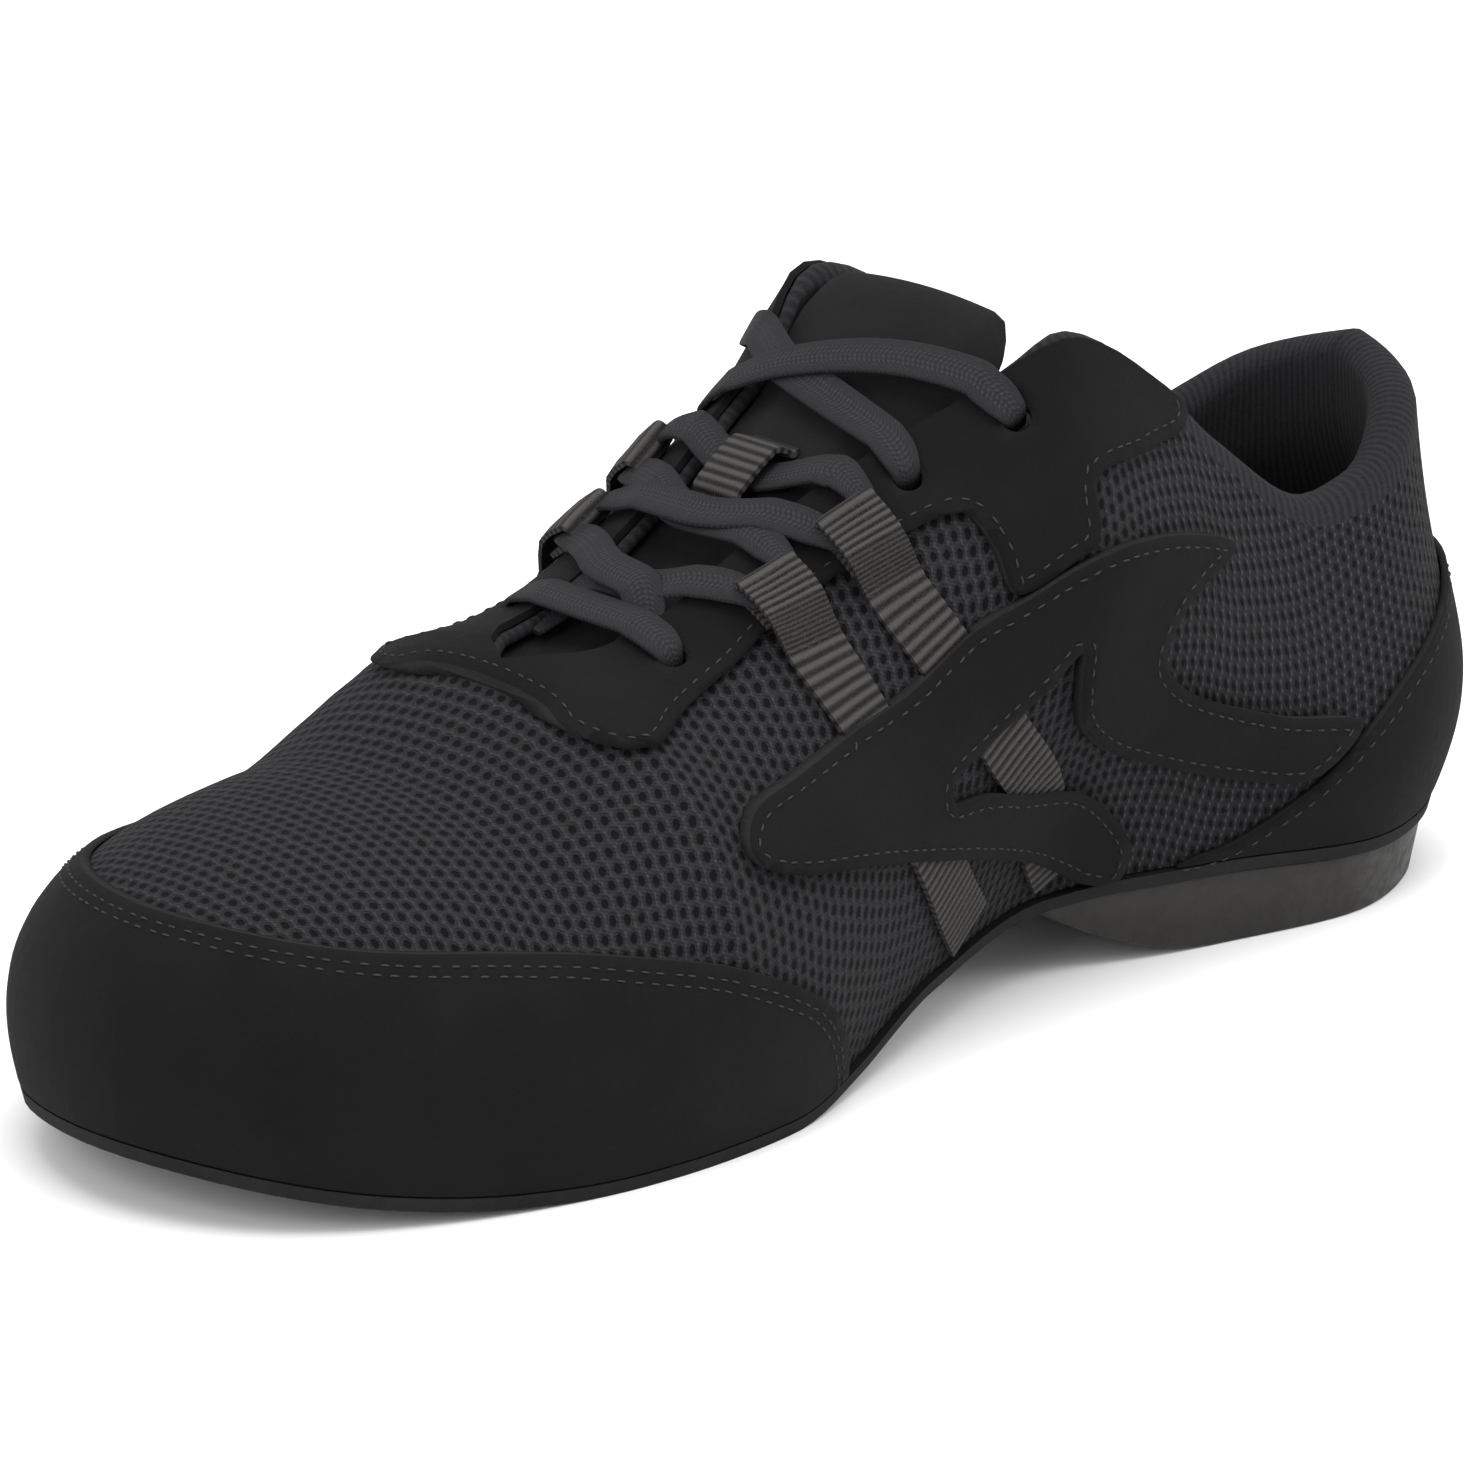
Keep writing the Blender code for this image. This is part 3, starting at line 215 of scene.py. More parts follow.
def sheet(form, columns, rows, place, run, turned=False):
    """A grid of faces bent into shape. place gives a corner's point and run its spot on the cloth."""
    weave = form.loops.layers.uv.verify()
    made = bmesh.ops.create_grid(form, x_segments=columns, y_segments=rows, size=1)["verts"]
    spots = {}
    for corner in made:
        i = round((corner.co.x + 1) / 2 * columns)
        j = round((corner.co.y + 1) / 2 * rows)
        spots[corner] = (i, j)
    for corner, spot in spots.items():
        corner.co = place(*spot)
    faces = list({face for corner in made for face in corner.link_faces})
    for face in faces:
        for loop in face.loops:
            loop[weave].uv = run(*spots[loop.vert])
    if turned:
        bmesh.ops.reverse_faces(form, faces=faces)
    return spots


def edge_loops(form, test):
    """The open edges of a sheet whose two ends both pass a test."""
    return [e for e in form.edges if e.is_boundary and all(test(v) for v in e.verts)]


def finished(name, form, *stuffs):
    """Makes a shaped piece an object in the shoe's place, riding on the shoe."""
    bmesh.ops.remove_doubles(form, verts=form.verts, dist=0.01 * MM)
    bmesh.ops.dissolve_degenerate(form, edges=form.edges, dist=0.001 * MM)
    bmesh.ops.translate(form, vec=SHOE_PLACE, verts=form.verts)
    mesh = bpy.data.meshes.new(name)
    form.to_mesh(mesh)
    form.free()
    for stuff in stuffs:
        mesh.materials.append(stuff)
    mesh.shade_smooth()
    mesh.set_sharp_from_angle(angle=math.radians(45))
    made = bpy.data.objects.new(name, mesh)
    bpy.context.scene.collection.objects.link(made)
    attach(made, "root")
    return made


def plate_form(top, bottom, until=1.0):
    """A level piece with the sole's outline, until a share of the length.

    top and bottom are (inset from the outline, height at x) for its two faces.
    """
    form = bmesh.new()
    stations = [rib for rib in RIBS if rib[2] < until]
    stations.append((until, 90, until) if until < 1.0 else RIBS[-1])
    for inset, height, under in ((*top, False), (*bottom, True)):
        for side in (1, -1):

            def place(i, j):
                centre, angle, _ = stations[i]
                turn = math.radians(angle)
                heading = np.array([math.cos(turn), side * math.sin(turn)])
                origin = spine(centre)
                x, y = origin + heading * (reach(origin, heading) - inset) * j / RINGS
                return Vector((x, y, height(x)))

            def run(i, j):
                x, y, _ = place(i, j)
                return x, y

            sheet(form, len(stations) - 1, RINGS, place, run, turned=(side == 1) == under)
    bmesh.ops.remove_doubles(form, verts=form.verts, dist=0.01 * MM)
    bmesh.ops.bridge_loops(form, edges=edge_loops(form, lambda v: True))
    bmesh.ops.recalc_face_normals(form, faces=form.faces)
    return form


def linked(tree, kind, **values):
    """A node with its named sockets linked to outputs or set to values."""
    made = tree.nodes.new(kind)
    for name, value in values.items():
        socket = made.inputs[name.replace("_", " ")]
        if isinstance(value, bpy.types.NodeSocket):
            tree.links.new(value, socket)
        else:
            socket.default_value = value
    return made


def sums(tree, operation, *values):
    """The output of a Math node over two or three numbers or outputs."""
    made = tree.nodes.new("ShaderNodeMath")
    made.operation = operation
    for socket, value in zip(made.inputs, values):
        if isinstance(value, bpy.types.NodeSocket):
            tree.links.new(value, socket)
        else:
            socket.default_value = value
    return made.outputs[0]


def grain(tree, spot, size, detail=2.0, roughness=0.5):
    """Noise whose features are about size metres across."""
    noise = linked(tree, "ShaderNodeTexNoise", Vector=spot, Scale=1 / size, Detail=detail)
    noise.inputs["Roughness"].default_value = roughness
    return noise.outputs["Fac"]


def ranged(tree, value, low, high, to_low=0.0, to_high=1.0):
    """A number's range stretched onto another, held at both ends."""
    made = linked(tree, "ShaderNodeMapRange", Value=value, From_Min=low, From_Max=high)
    made.inputs["To Min"].default_value = to_low
    made.inputs["To Max"].default_value = to_high
    return made.outputs[0]


def linear(colour, gain=1.0):
    """An sRGB colour of 0 to 255 as the shader's linear colour."""
    found = []
    for part in colour:
        share = part / 255
        found.append(gain * (share / 12.92 if share < 0.04045 else ((share + 0.055) / 1.055) ** 2.4))
    return (*found, 1.0)


def mixed(tree, share, first, second):
    """Two colours mixed by a share."""
    made = tree.nodes.new("ShaderNodeMix")
    made.data_type = "RGBA"
    for socket, value in zip((made.inputs[0], made.inputs[6], made.inputs[7]), (share, first, second)):
        if isinstance(value, bpy.types.NodeSocket):
            tree.links.new(value, socket)
        else:
            socket.default_value = value
    return made.outputs[2]


def raised(tree, height, distance, strength=1.0, under=None):
    """A bump whose full height is distance metres, over another bump if given."""
    bump = linked(tree, "ShaderNodeBump", Height=height, Distance=distance, Strength=strength)
    if under is not None:
        tree.links.new(under, bump.inputs["Normal"])
    return bump.outputs[0]


def dressed(name, roughness, sheen=0.0):
    """A new material with its node tree, its shader and the two coordinates that patterns use."""
    stuff = bpy.data.materials.new(name)
    stuff.use_nodes = True
    tree = stuff.node_tree
    shader = tree.nodes["Principled BSDF"]
    shader.inputs["Roughness"].default_value = roughness
    shader.inputs["Specular IOR Level"].default_value = 0.08
    shader.inputs["Sheen Weight"].default_value = sheen
    shader.inputs["Sheen Roughness"].default_value = 0.6
    spot = tree.nodes.new("ShaderNodeTexCoord")
    return stuff, tree, shader, spot.outputs["Object"], spot.outputs["UV"]


def suede(name, colour, worn):
    """Napped leather: fine fibres, a cloudy nap brushed both ways, and paler worn spots."""
    stuff, tree, shader, spot, _ = dressed(name, 0.95, 0.01)
    clouds = grain(tree, spot, 16 * MM, 3)
    nap = grain(tree, spot, 2.2 * MM, 4, 0.65)
    fibres = grain(tree, spot, 0.35 * MM, 3, 0.7)
    tone = mixed(tree, ranged(tree, clouds, 0.35, 0.7), linear(colour, 0.85), linear(colour, 1.2))
    tone = mixed(tree, ranged(tree, nap, 0.45, 0.8, 0, 0.35), tone, linear(worn))
    tone = mixed(tree, ranged(tree, fibres, 0.55, 0.8, 0, 0.5), tone, linear(worn, 1.25))
    tree.links.new(tone, shader.inputs["Base Color"])
    low = raised(tree, nap, 0.25 * MM, 0.5)
    tree.links.new(raised(tree, fibres, 0.2 * MM, 0.8, low), shader.inputs["Normal"])
    rough = ranged(tree, nap, 0.3, 0.8, 0.85, 1.0)
    tree.links.new(rough, shader.inputs["Roughness"])
    return stuff


SUEDE = suede("suede", (15, 15, 16), (21, 22, 23))
SUEDE_EDGE = suede("suede_cut_edge", (27, 27, 28), (42, 42, 42))
SOLE_SUEDE = suede("sole_suede", (18, 17, 17), (30, 29, 28))

outsole_form = plate_form((0.0, seat_height), (SOLE_TAPER, lambda x: seat_height(x) - SOLE_THICK))
for face in outsole_form.faces:
    if abs(face.normal.z) < 0.6:
        face.material_index = 1
outsole = finished("outsole_suede", outsole_form, SOLE_SUEDE, SUEDE_EDGE)
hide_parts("outsole")


# Heel: a low block of smooth dark rubber under the back of the sole, with a bevelled edge all round
# and an underside that rolls up in front to a thin tip at the arch.
HEEL_FLAT_END = 62 * MM
HEEL_TIP = 97 * MM
HEEL_TIP_THICK = 1.0 * MM
HEEL_INSET = 1.5 * MM
HEEL_TAPER = 2.0 * MM
HEEL_BULGE = 1.8


def heel_top(x):
    return seat_height(x) - SOLE_THICK - GAP


def heel_tread(x):
    part = min(max((x - HEEL_FLAT_END) / (HEEL_TIP - HEEL_FLAT_END), 0.0), 1.0)
    return (heel_top(HEEL_TIP) - HEEL_TIP_THICK) * part**HEEL_BULGE


RUBBER, tree, shader, spot, _ = dressed("rubber", 0.55)
shader.inputs["Specular IOR Level"].default_value = 0.3
clouds = grain(tree, spot, 12 * MM, 3)
specks = grain(tree, spot, 0.5 * MM, 2)
scuffs = grain(tree, spot, 3 * MM, 4, 0.7)
tone = mixed(tree, ranged(tree, clouds, 0.3, 0.7), linear((25, 24, 22)), linear((30, 28, 26)))
tone = mixed(tree, ranged(tree, scuffs, 0.6, 0.75, 0, 0.5), tone, linear((41, 39, 37)))
tree.links.new(tone, shader.inputs["Base Color"])
tree.links.new(ranged(tree, scuffs, 0.4, 0.7, 0.45, 0.7), shader.inputs["Roughness"])
low = raised(tree, specks, 0.05 * MM, 0.5)
tree.links.new(raised(tree, scuffs, 0.2 * MM, 0.3, low), shader.inputs["Normal"])

form = plate_form(
    (HEEL_INSET, heel_top), (HEEL_INSET + HEEL_TAPER, heel_tread), until=HEEL_TIP / SHOE_LENGTH
)
rims = [e for e in form.edges if len(e.link_faces) == 2 and e.calc_face_angle(0) > 0.9]
bmesh.ops.bevel(
    form, geom=rims, offset=0.5 * MM, segments=2, profile=0.5, affect="EDGES", material=-1,
    clamp_overlap=True,
)
heel = finished("heel_rubber", form, RUBBER)
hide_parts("heel")


# Upper: one hollow boot of spacer mesh with a real wall, open at the collar, the throat and
# underneath. Its padded collar and its inside are lined with knit that rolls over the top edge.
BACK_HEIGHT = 70 * MM
ANKLE_HEIGHT = 54 * MM
INSTEP_HEIGHT = 90.5 * MM
VAMP_HEIGHT = 64.5 * MM
TOE_BOX_HEIGHT = 50.5 * MM
COLLAR_WIDTH = 56 * MM
THROAT_WIDTH = 40 * MM
WALL = 2.2 * MM
COLLAR_PAD = 8 * MM
COLLAR_PAD_DEPTH = 26 * MM
OVERLAY_THICK = 1.1 * MM
EDGE_INSET = GAP + OVERLAY_THICK
PAD_END = 0.40
PAD_FADE = 0.06
PAD_FULL = 1.35
TOP_REACH = 1.3
ROWS = 40
RIM_STEPS = 8
RIM_BULGE = 0.8
LINING_ROLL = 0.8 * MM
HOLE_PITCH = 2.75 * MM
HOLE_ROW = 2.1 * MM
REAR_MESH_END = 0.36


# The wall over the sole. back, ankle, instep, vamp and toe are shares of the heights of those names
# and add up to the height of the top edge; collar and throat are shares of half of those widths and
# add up to its half width. lean_out and lean_in are degrees from upright at the sole and at the top
# edge, and low and high say how far each of those slopes reaches.
WALL_FORM = named_rows(
    "at back ankle instep vamp toe collar throat lean_out lean_in low high",
    (0.000, 1.00, 0.00, 0.00, 0.00, 0.00, 0.96, 0.00, 22, 2, 0.42, 0.45),
    (0.060, 0.60, 0.42, 0.00, 0.00, 0.00, 0.96, 0.00, 22, 5, 0.42, 0.45),
    (0.125, 0.08, 0.93, 0.00, 0.00, 0.00, 0.98, 0.00, 20, 12, 0.42, 0.45),
    (0.160, 0.00, 1.00, 0.00, 0.00, 0.00, 1.00, 0.00, 18, 14, 0.42, 0.45),
    (0.250, 0.00, 0.55, 0.417, 0.00, 0.00, 1.03, 0.00, 18, 18, 0.42, 0.45),
    (0.300, 0.00, 0.25, 0.727, 0.00, 0.00, 1.05, 0.00, 18, 24, 0.42, 0.45),
    (0.375, 0.00, 0.00, 1.00, 0.00, 0.00, 1.02, 0.00, 20, 32, 0.48, 0.45),
    (0.415, 0.00, 0.00, 0.955, 0.00, 0.00, 0.42, 0.62, 20, 46, 0.48, 0.45),
    (0.470, 0.00, 0.00, 0.800, 0.13, 0.00, 0.05, 0.82, 20, 62, 0.50, 0.40),
    (0.520, 0.00, 0.00, 0.610, 0.34, 0.00, 0.00, 0.68, 20, 70, 0.52, 0.38),
    (0.569, 0.00, 0.00, 0.430, 0.54, 0.00, 0.00, 0.57, 20, 74, 0.54, 0.40),
    (0.668, 0.00, 0.00, 0.06, 0.93, 0.00, 0.00, 0.47, 20, 80, 0.60, 0.50),
    (0.688, 0.00, 0.00, 0.02, 0.98, 0.00, 0.00, 0.30, 18, 84, 0.60, 0.62),
    (0.700, 0.00, 0.00, 0.00, 0.99, 0.00, 0.00, 0.00, 18, 90, 0.60, 0.65),
    (0.720, 0.00, 0.00, 0.00, 0.74, 0.25, 0.00, 0.00, 18, 90, 0.60, 0.65),
    (0.800, 0.00, 0.00, 0.00, 0.00, 1.00, 0.00, 0.00, 18, 90, 0.60, 0.65),
    (1.000, 0.00, 0.00, 0.00, 0.00, 1.00, 0.00, 0.00, 13, 90, 0.66, 0.65),
)
def top_height(at):
    """Height of the wall's top edge."""
    heights = {
        "back": BACK_HEIGHT,
        "ankle": ANKLE_HEIGHT,
        "instep": INSTEP_HEIGHT,
        "vamp": VAMP_HEIGHT,
        "toe": TOE_BOX_HEIGHT,
    }
    wall = sum(column(WALL_FORM, name, at) * size for name, size in heights.items())
    return seat_height(min(at, TOE_CENTRE) * SHOE_LENGTH) + wall


def top_half_width(at):
    """How far the wall's top edge is from the spine."""
    collar = column(WALL_FORM, "collar", at) * COLLAR_WIDTH / 2
    return collar + column(WALL_FORM, "throat", at) * THROAT_WIDTH / 2


def top_slope():
    """How steeply the closed forefoot falls toward the toe where the toe's rays meet."""
    step = 0.02
    return (top_height(TOE_CENTRE) - top_height(TOE_CENTRE - step)) / (step * SHOE_LENGTH)


def wall_curve(side, centre, angle, at):
    """The wall in the upright plane of one ray, as four control points of (reach, height)."""
    origin = spine(centre)
    heading = np.array([math.cos(math.radians(angle)), side * math.sin(math.radians(angle))])
    foot = reach(origin, heading) - EDGE_INSET
    low = seat_height(origin[0] + heading[0] * foot) + GAP
    width = top_half_width(at)
    high = top_height(at)
    lean_out = math.radians(column(WALL_FORM, "lean_out", at))
    lean_in = math.radians(column(WALL_FORM, "lean_in", at))
    rise = high - low
    run = max(foot - width, 0.0)
    start = np.array([foot, low])
    end = np.array([width, high])
    first = column(WALL_FORM, "low", at) * rise
    out = start + first * np.array([math.sin(lean_out), math.cos(lean_out)])
    arriving = np.array([-math.sin(lean_in), math.cos(lean_in)])
    if at > TOE_CENTRE:
        arriving = np.array([-1.0, -top_slope() * heading[0]])
    last = column(WALL_FORM, "high", at) * TOP_REACH
    last *= run * math.sin(lean_in) + rise * math.cos(lean_in)
    return origin, heading, (start, out, end - last * arriving, end)


def curve_point(curve, t):
    origin, heading, (a, b, c, d) = curve
    flat = a * (1 - t) ** 3 + 3 * b * t * (1 - t) ** 2 + 3 * c * t * t * (1 - t) + d * t**3
    return np.array([*(origin + heading * flat[0]), flat[1]])


def wall_thickness(at, depth):
    """Thickness of the upper's wall: cloth, with the collar's padding near its top edge."""
    fade = min(max((PAD_END - at) / PAD_FADE, 0.0), 1.0)
    near = min(max(PAD_FULL - depth / COLLAR_PAD_DEPTH, 0.0), 1.0)
    return WALL + (COLLAR_PAD - WALL) * fade * near * near * (3 - 2 * near)


WALL_CURVES = {}
WALL_RUNS = {}
for side in (1, -1):
    for i, rib in enumerate(RIBS):
        curve = wall_curve(side, *rib)
        points = [curve_point(curve, j / ROWS) for j in range(ROWS + 1)]
        steps = np.linalg.norm(np.diff(points, axis=0), axis=1)
        WALL_CURVES[side, i] = points
        WALL_RUNS[side, i] = np.concatenate([np.cumsum(steps[::-1])[::-1], [0.0]])
HEEL_RUN = [0.0]
for i in range(HEEL_RIBS):
    middle = ROWS // 2
    apart = WALL_CURVES[1, i + 1][middle] - WALL_CURVES[1, i][middle]
    HEEL_RUN.append(HEEL_RUN[-1] + np.linalg.norm(apart))


def wall_sheet(form):
    """The upper's outer surface, both sides joined at heel, toe and forefoot."""
    station = form.verts.layers.float.new("station")
    row = form.verts.layers.int.new("row")
    for side in (1, -1):

        def place(i, j):
            return Vector(WALL_CURVES[side, i][j])

        def run(i, j):
            centre, angle, at = RIBS[i]
            out = WALL_RUNS[side, i][j] + top_half_width(at)
            turn = math.radians(angle)
            if angle > 90:
                return centre * SHOE_LENGTH - HEEL_RUN[-1] + HEEL_RUN[i], side * out
            return centre * SHOE_LENGTH + out * math.cos(turn), side * out * math.sin(turn)

        spots = sheet(form, LAST_RIB, ROWS, place, run, turned=side == 1)
        for corner, (i, j) in spots.items():
            corner[station] = RIBS[i][2]
            corner[row] = j
    bmesh.ops.remove_doubles(form, verts=form.verts, dist=0.01 * MM)
    form.normal_update()
    return station, row


def lift_wall(corners, directions, row, lift):
    """Moves corners out along their directions. The lowest row stays on the sole as it moves."""
    for corner in corners:
        direction = directions[corner].copy()
        if corner[row] == 0:
            direction.z = 0
            direction.normalize()
        corner.co += direction * lift(corner)
        if corner[row] == 0:
            corner.co.z = seat_height(corner.co.x) + GAP


def second_wall(form):
    """A turned copy of the sheet: its corners, and which original each came from."""
    faces = list(form.faces)
    twins = bmesh.ops.duplicate(form, geom=list(form.verts) + list(form.edges) + faces)
    origin = {}
    for new in twins["geom"]:
        if isinstance(new, bmesh.types.BMVert):
            origin[new] = twins["vert_map"][new]
    bmesh.ops.reverse_faces(form, faces=[g for g in twins["geom"] if isinstance(g, bmesh.types.BMFace)])
    return origin


upper_form = bmesh.new()
station, row = wall_sheet(upper_form)
outward = {corner: corner.normal.copy() for corner in upper_form.verts}
above = {}
for corner in upper_form.verts:
    if corner[row] == ROWS and corner.is_boundary:
        below = [e.other_vert(corner) for e in corner.link_edges]
        above[corner] = next(b for b in below if b[row] == ROWS - 1)
origin = second_wall(upper_form)
twin = {old: new for new, old in origin.items()}


def wall_at(corner):
    """The wall's thickness at a corner."""
    at = corner[station]
    return wall_thickness(at, top_height(at) - corner.co.z)


lift_wall(twin.values(), {new: outward[old] for new, old in origin.items()}, row, lambda v: -wall_at(v))
weave = upper_form.loops.layers.uv.verify()
outer_faces = {f for f in upper_form.faces if not any(v in origin for v in f.verts)}
spot_of = {loop.vert: loop[weave].uv.copy() for f in outer_faces for loop in f.loops}
line = [e for e in upper_form.edges if e.is_boundary and all(v in above for v in e.verts)]
source = {corner: corner for corner in above}
rolled = set()
for step in range(1, RIM_STEPS + 2):
    made = bmesh.ops.extrude_edge_only(upper_form, edges=line)["geom"]
    new_source = {}
    for corner in (g for g in made if isinstance(g, bmesh.types.BMVert)):
        before = next(e.other_vert(corner) for e in corner.link_edges if e.other_vert(corner) in source)
        first = source[before]
        new_source[corner] = first
        out, back = first.co, twin[first].co
        up = (first.co - above[first].co).normalized() * (out - back).length / 2
        turn = math.pi * step / (RIM_STEPS + 1)
        corner.co = (out + back) / 2 + (out - back) / 2 * math.cos(turn) + up * math.sin(turn) * RIM_BULGE
        spot = spot_of[before].copy()
        spot.y += math.copysign((corner.co - before.co).length, -spot.y)
        spot_of[corner] = spot
    for face in (g for g in made if isinstance(g, bmesh.types.BMFace)):
        rolled.add(face)
        for loop in face.loops:
            loop[weave].uv = spot_of[loop.vert]
    source = new_source
    line = [g for g in made if isinstance(g, bmesh.types.BMEdge) and all(v in source for v in g.verts)]
for face in upper_form.faces:
    if face not in outer_faces:
        face.material_index = 1
    else:
        at = max(v[station] for v in face.verts)
        deep = min(top_height(v[station]) - v.co.z for v in face.verts)
        if deep < LINING_ROLL and at < PAD_END:
            face.material_index = 1
bmesh.ops.remove_doubles(upper_form, verts=upper_form.verts, dist=0.01 * MM)
bottoms = edge_loops(upper_form, lambda v: v[row] == 0)
bmesh.ops.bridge_loops(upper_form, edges=bottoms)
bmesh.ops.recalc_face_normals(upper_form, faces=upper_form.faces)

MESH_CLOTH, tree, shader, spot, weave_spot = dressed("mesh_cloth", 0.85, 0.01)
station_share = tree.nodes.new("ShaderNodeAttribute")
station_share.attribute_name = "station"
rear = ranged(tree, station_share.outputs["Fac"], REAR_MESH_END, REAR_MESH_END - 0.06)
split = linked(tree, "ShaderNodeSeparateXYZ", Vector=weave_spot)
wander = grain(tree, spot, 5 * MM, 2)
wander = sums(tree, "MULTIPLY", sums(tree, "SUBTRACT", wander, 0.5), 0.35)
along = sums(tree, "ADD", sums(tree, "DIVIDE", split.outputs["X"], HOLE_ROW), wander)
across = sums(tree, "ADD", sums(tree, "DIVIDE", split.outputs["Y"], HOLE_PITCH), wander)
line_number = sums(tree, "FLOOR", along)
shift = sums(tree, "MULTIPLY", sums(tree, "PINGPONG", line_number, 1.0), 0.5)
hole_x = sums(tree, "SUBTRACT", sums(tree, "FRACT", along), 0.5)
hole_y = sums(tree, "SUBTRACT", sums(tree, "FRACT", sums(tree, "ADD", across, shift)), 0.5)
hole_x = sums(tree, "MULTIPLY", hole_x, 1.15)
hole = sums(tree, "SQRT", sums(tree, "ADD", sums(tree, "MULTIPLY", hole_x, hole_x), sums(tree, "MULTIPLY", hole_y, hole_y)))
yarn = grain(tree, spot, 0.45 * MM, 3, 0.7)
ragged = sums(tree, "ADD", hole, sums(tree, "MULTIPLY", sums(tree, "SUBTRACT", yarn, 0.5), 0.12))
ragged = sums(tree, "ADD", ragged, sums(tree, "MULTIPLY", rear, 0.08))
# The holes are painted near black: partly the dark lining seen through them, partly painted shade inside them,
# since the wall has no real holes.
hole_and_painted_shade = ranged(tree, ragged, 0.35, 0.25)
twist = linked(tree, "ShaderNodeTexWave", Vector=weave_spot, Scale=1 / (1.1 * MM), Distortion=3.0)
twist.bands_direction = "DIAGONAL"
thread = mixed(tree, yarn, linear((24, 24, 26)), linear((52, 52, 55)))
thread = mixed(tree, ranged(tree, twist.outputs["Fac"], 0.2, 0.9, 0.0, 0.45), thread, linear((18, 18, 19)))
knot = sums(tree, "ADD", sums(tree, "ABSOLUTE", hole_x), sums(tree, "ABSOLUTE", hole_y))
knot = sums(tree, "MULTIPLY", ranged(tree, knot, 0.82, 0.98), sums(tree, "MULTIPLY_ADD", rear, 0.7, 0.15))
thread = mixed(tree, knot, thread, linear((80, 80, 83)))
thread = mixed(tree, sums(tree, "MULTIPLY", rear, 0.35), thread, linear((18, 18, 19)))
# Holes in painted shade: near black, darker than the lining that would show through them.
tree.links.new(mixed(tree, hole_and_painted_shade, thread, linear((6, 6, 6))), shader.inputs["Base Color"])
ring = ranged(tree, ragged, 0.2, 0.55)
low = raised(tree, ring, 0.9 * MM, 0.8)
tree.links.new(raised(tree, yarn, 0.35 * MM, 0.7, low), shader.inputs["Normal"])

KNIT, tree, shader, spot, weave_spot = dressed("knit_lining", 0.9, 0.02)
rib = linked(tree, "ShaderNodeTexWave", Vector=weave_spot, Scale=1 / (5.5 * MM), Distortion=0.6)
rib.inputs["Detail Scale"].default_value = 200
fine = grain(tree, spot, 0.5 * MM, 3, 0.7)
tone = mixed(tree, rib.outputs["Fac"], linear((20, 20, 22)), linear((34, 34, 36)))
tone = mixed(tree, ranged(tree, fine, 0.4, 0.8, 0, 0.6), tone, linear((45, 45, 48)))
tree.links.new(tone, shader.inputs["Base Color"])
low = raised(tree, rib.outputs["Fac"], 0.3 * MM, 0.6)
tree.links.new(raised(tree, fine, 0.2 * MM, 0.7, low), shader.inputs["Normal"])


EYELET_RADIUS = 2.4 * MM
EYELET_SIDES = 24
SIDE_NAMES = {1: "outer", -1: "inner"}
# Eyelets: the front one by the throat's end, and two above the straps, on both sides. inset is how
# far each is from the throat's edge.
EYELETS = named_rows("at inset", (0.636, 7.6 * MM), (0.476, 5.4 * MM), (0.412, 4.7 * MM))


def skin(side, x, height):
    """The last's surface over the sole at x: its point at a height, and its outward direction."""
    at = x / SHOE_LENGTH
    curve = wall_curve(side, at, 90, at)
    low, high = 0.0, 1.0
    for _ in range(30):
        middle = (low + high) / 2
        if curve_point(curve, middle)[2] < height:
            low = middle
        else:
            high = middle
    point = curve_point(curve, low)
    step = 0.01
    ahead = wall_curve(side, at + step, 90, at + step)
    along = curve_point(ahead, low) - point
    up = curve_point(curve, min(low + step, 1.0)) - curve_point(curve, low - step)
    normal = np.cross(along, up)
    return point, normal / np.linalg.norm(normal) * math.copysign(1.0, normal[1] * side)


def skin_at_reach(side, at, out):
    """The wall's point at a distance from the spine, on its upper half."""
    curve = wall_curve(side, at, 90, at)
    low, high = 0.35, 1.0
    for _ in range(30):
        middle = (low + high) / 2
        if abs(curve_point(curve, middle)[1] - curve[0][1]) > out:
            low = middle
        else:
            high = middle
    return curve_point(curve, high)


def eyelet(side, number):
    """An eyelet's middle on the last's surface, and its outward direction."""
    row = EYELETS[number]
    height = skin_at_reach(side, row["at"], top_half_width(row["at"]) + row["inset"])[2]
    return skin(side, row["at"] * SHOE_LENGTH, height)


def cutter(name, form, rim_stuff):
    """A hidden block that cuts a piece. The faces that it leaves take its material."""
    made = finished(name, form, rim_stuff)
    made.hide_render = True
    made.hide_viewport = True
    return made


def cut(piece, operation, block, crossed=False):
    """Cuts a piece with a block, which may cross itself, and keeps the result as its own mesh."""
    tool = piece.modifiers.new(operation.lower(), "BOOLEAN")
    tool.operation = operation
    tool.solver = "EXACT"
    tool.material_mode = "TRANSFER"
    tool.use_self = crossed
    tool.object = block
    bpy.context.view_layer.update()
    graph = bpy.context.evaluated_depsgraph_get()
    mesh = bpy.data.meshes.new_from_object(piece.evaluated_get(graph))
    piece.modifiers.clear()
    piece.data = mesh
    mesh.name = piece.name
    return piece


def eyelet_punch():
    """Six short round bars, one through each eyelet."""
    form = bmesh.new()
    for side in (1, -1):
        for number in range(len(EYELETS)):
            point, normal = eyelet(side, number)
            turned = Vector(normal).to_track_quat("Z", "Y").to_matrix().to_4x4()
            turned.translation = Vector(point)
            bmesh.ops.create_cone(
                form, cap_ends=True, segments=EYELET_SIDES, radius1=EYELET_RADIUS,
                radius2=EYELET_RADIUS, depth=6 * WALL, matrix=turned,
            )
    return cutter("eyelet_punch", form, SUEDE_EDGE)


upper = finished("upper_mesh", upper_form, MESH_CLOTH, KNIT)
punch = eyelet_punch()
cut(upper, "DIFFERENCE", punch)
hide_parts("upper")


# Insole: the foam sock inside the shoe, faced with brushed lining cloth.
INSOLE_THICK = 3.5 * MM
INSOLE_INSET = EDGE_INSET + WALL + 2 * GAP

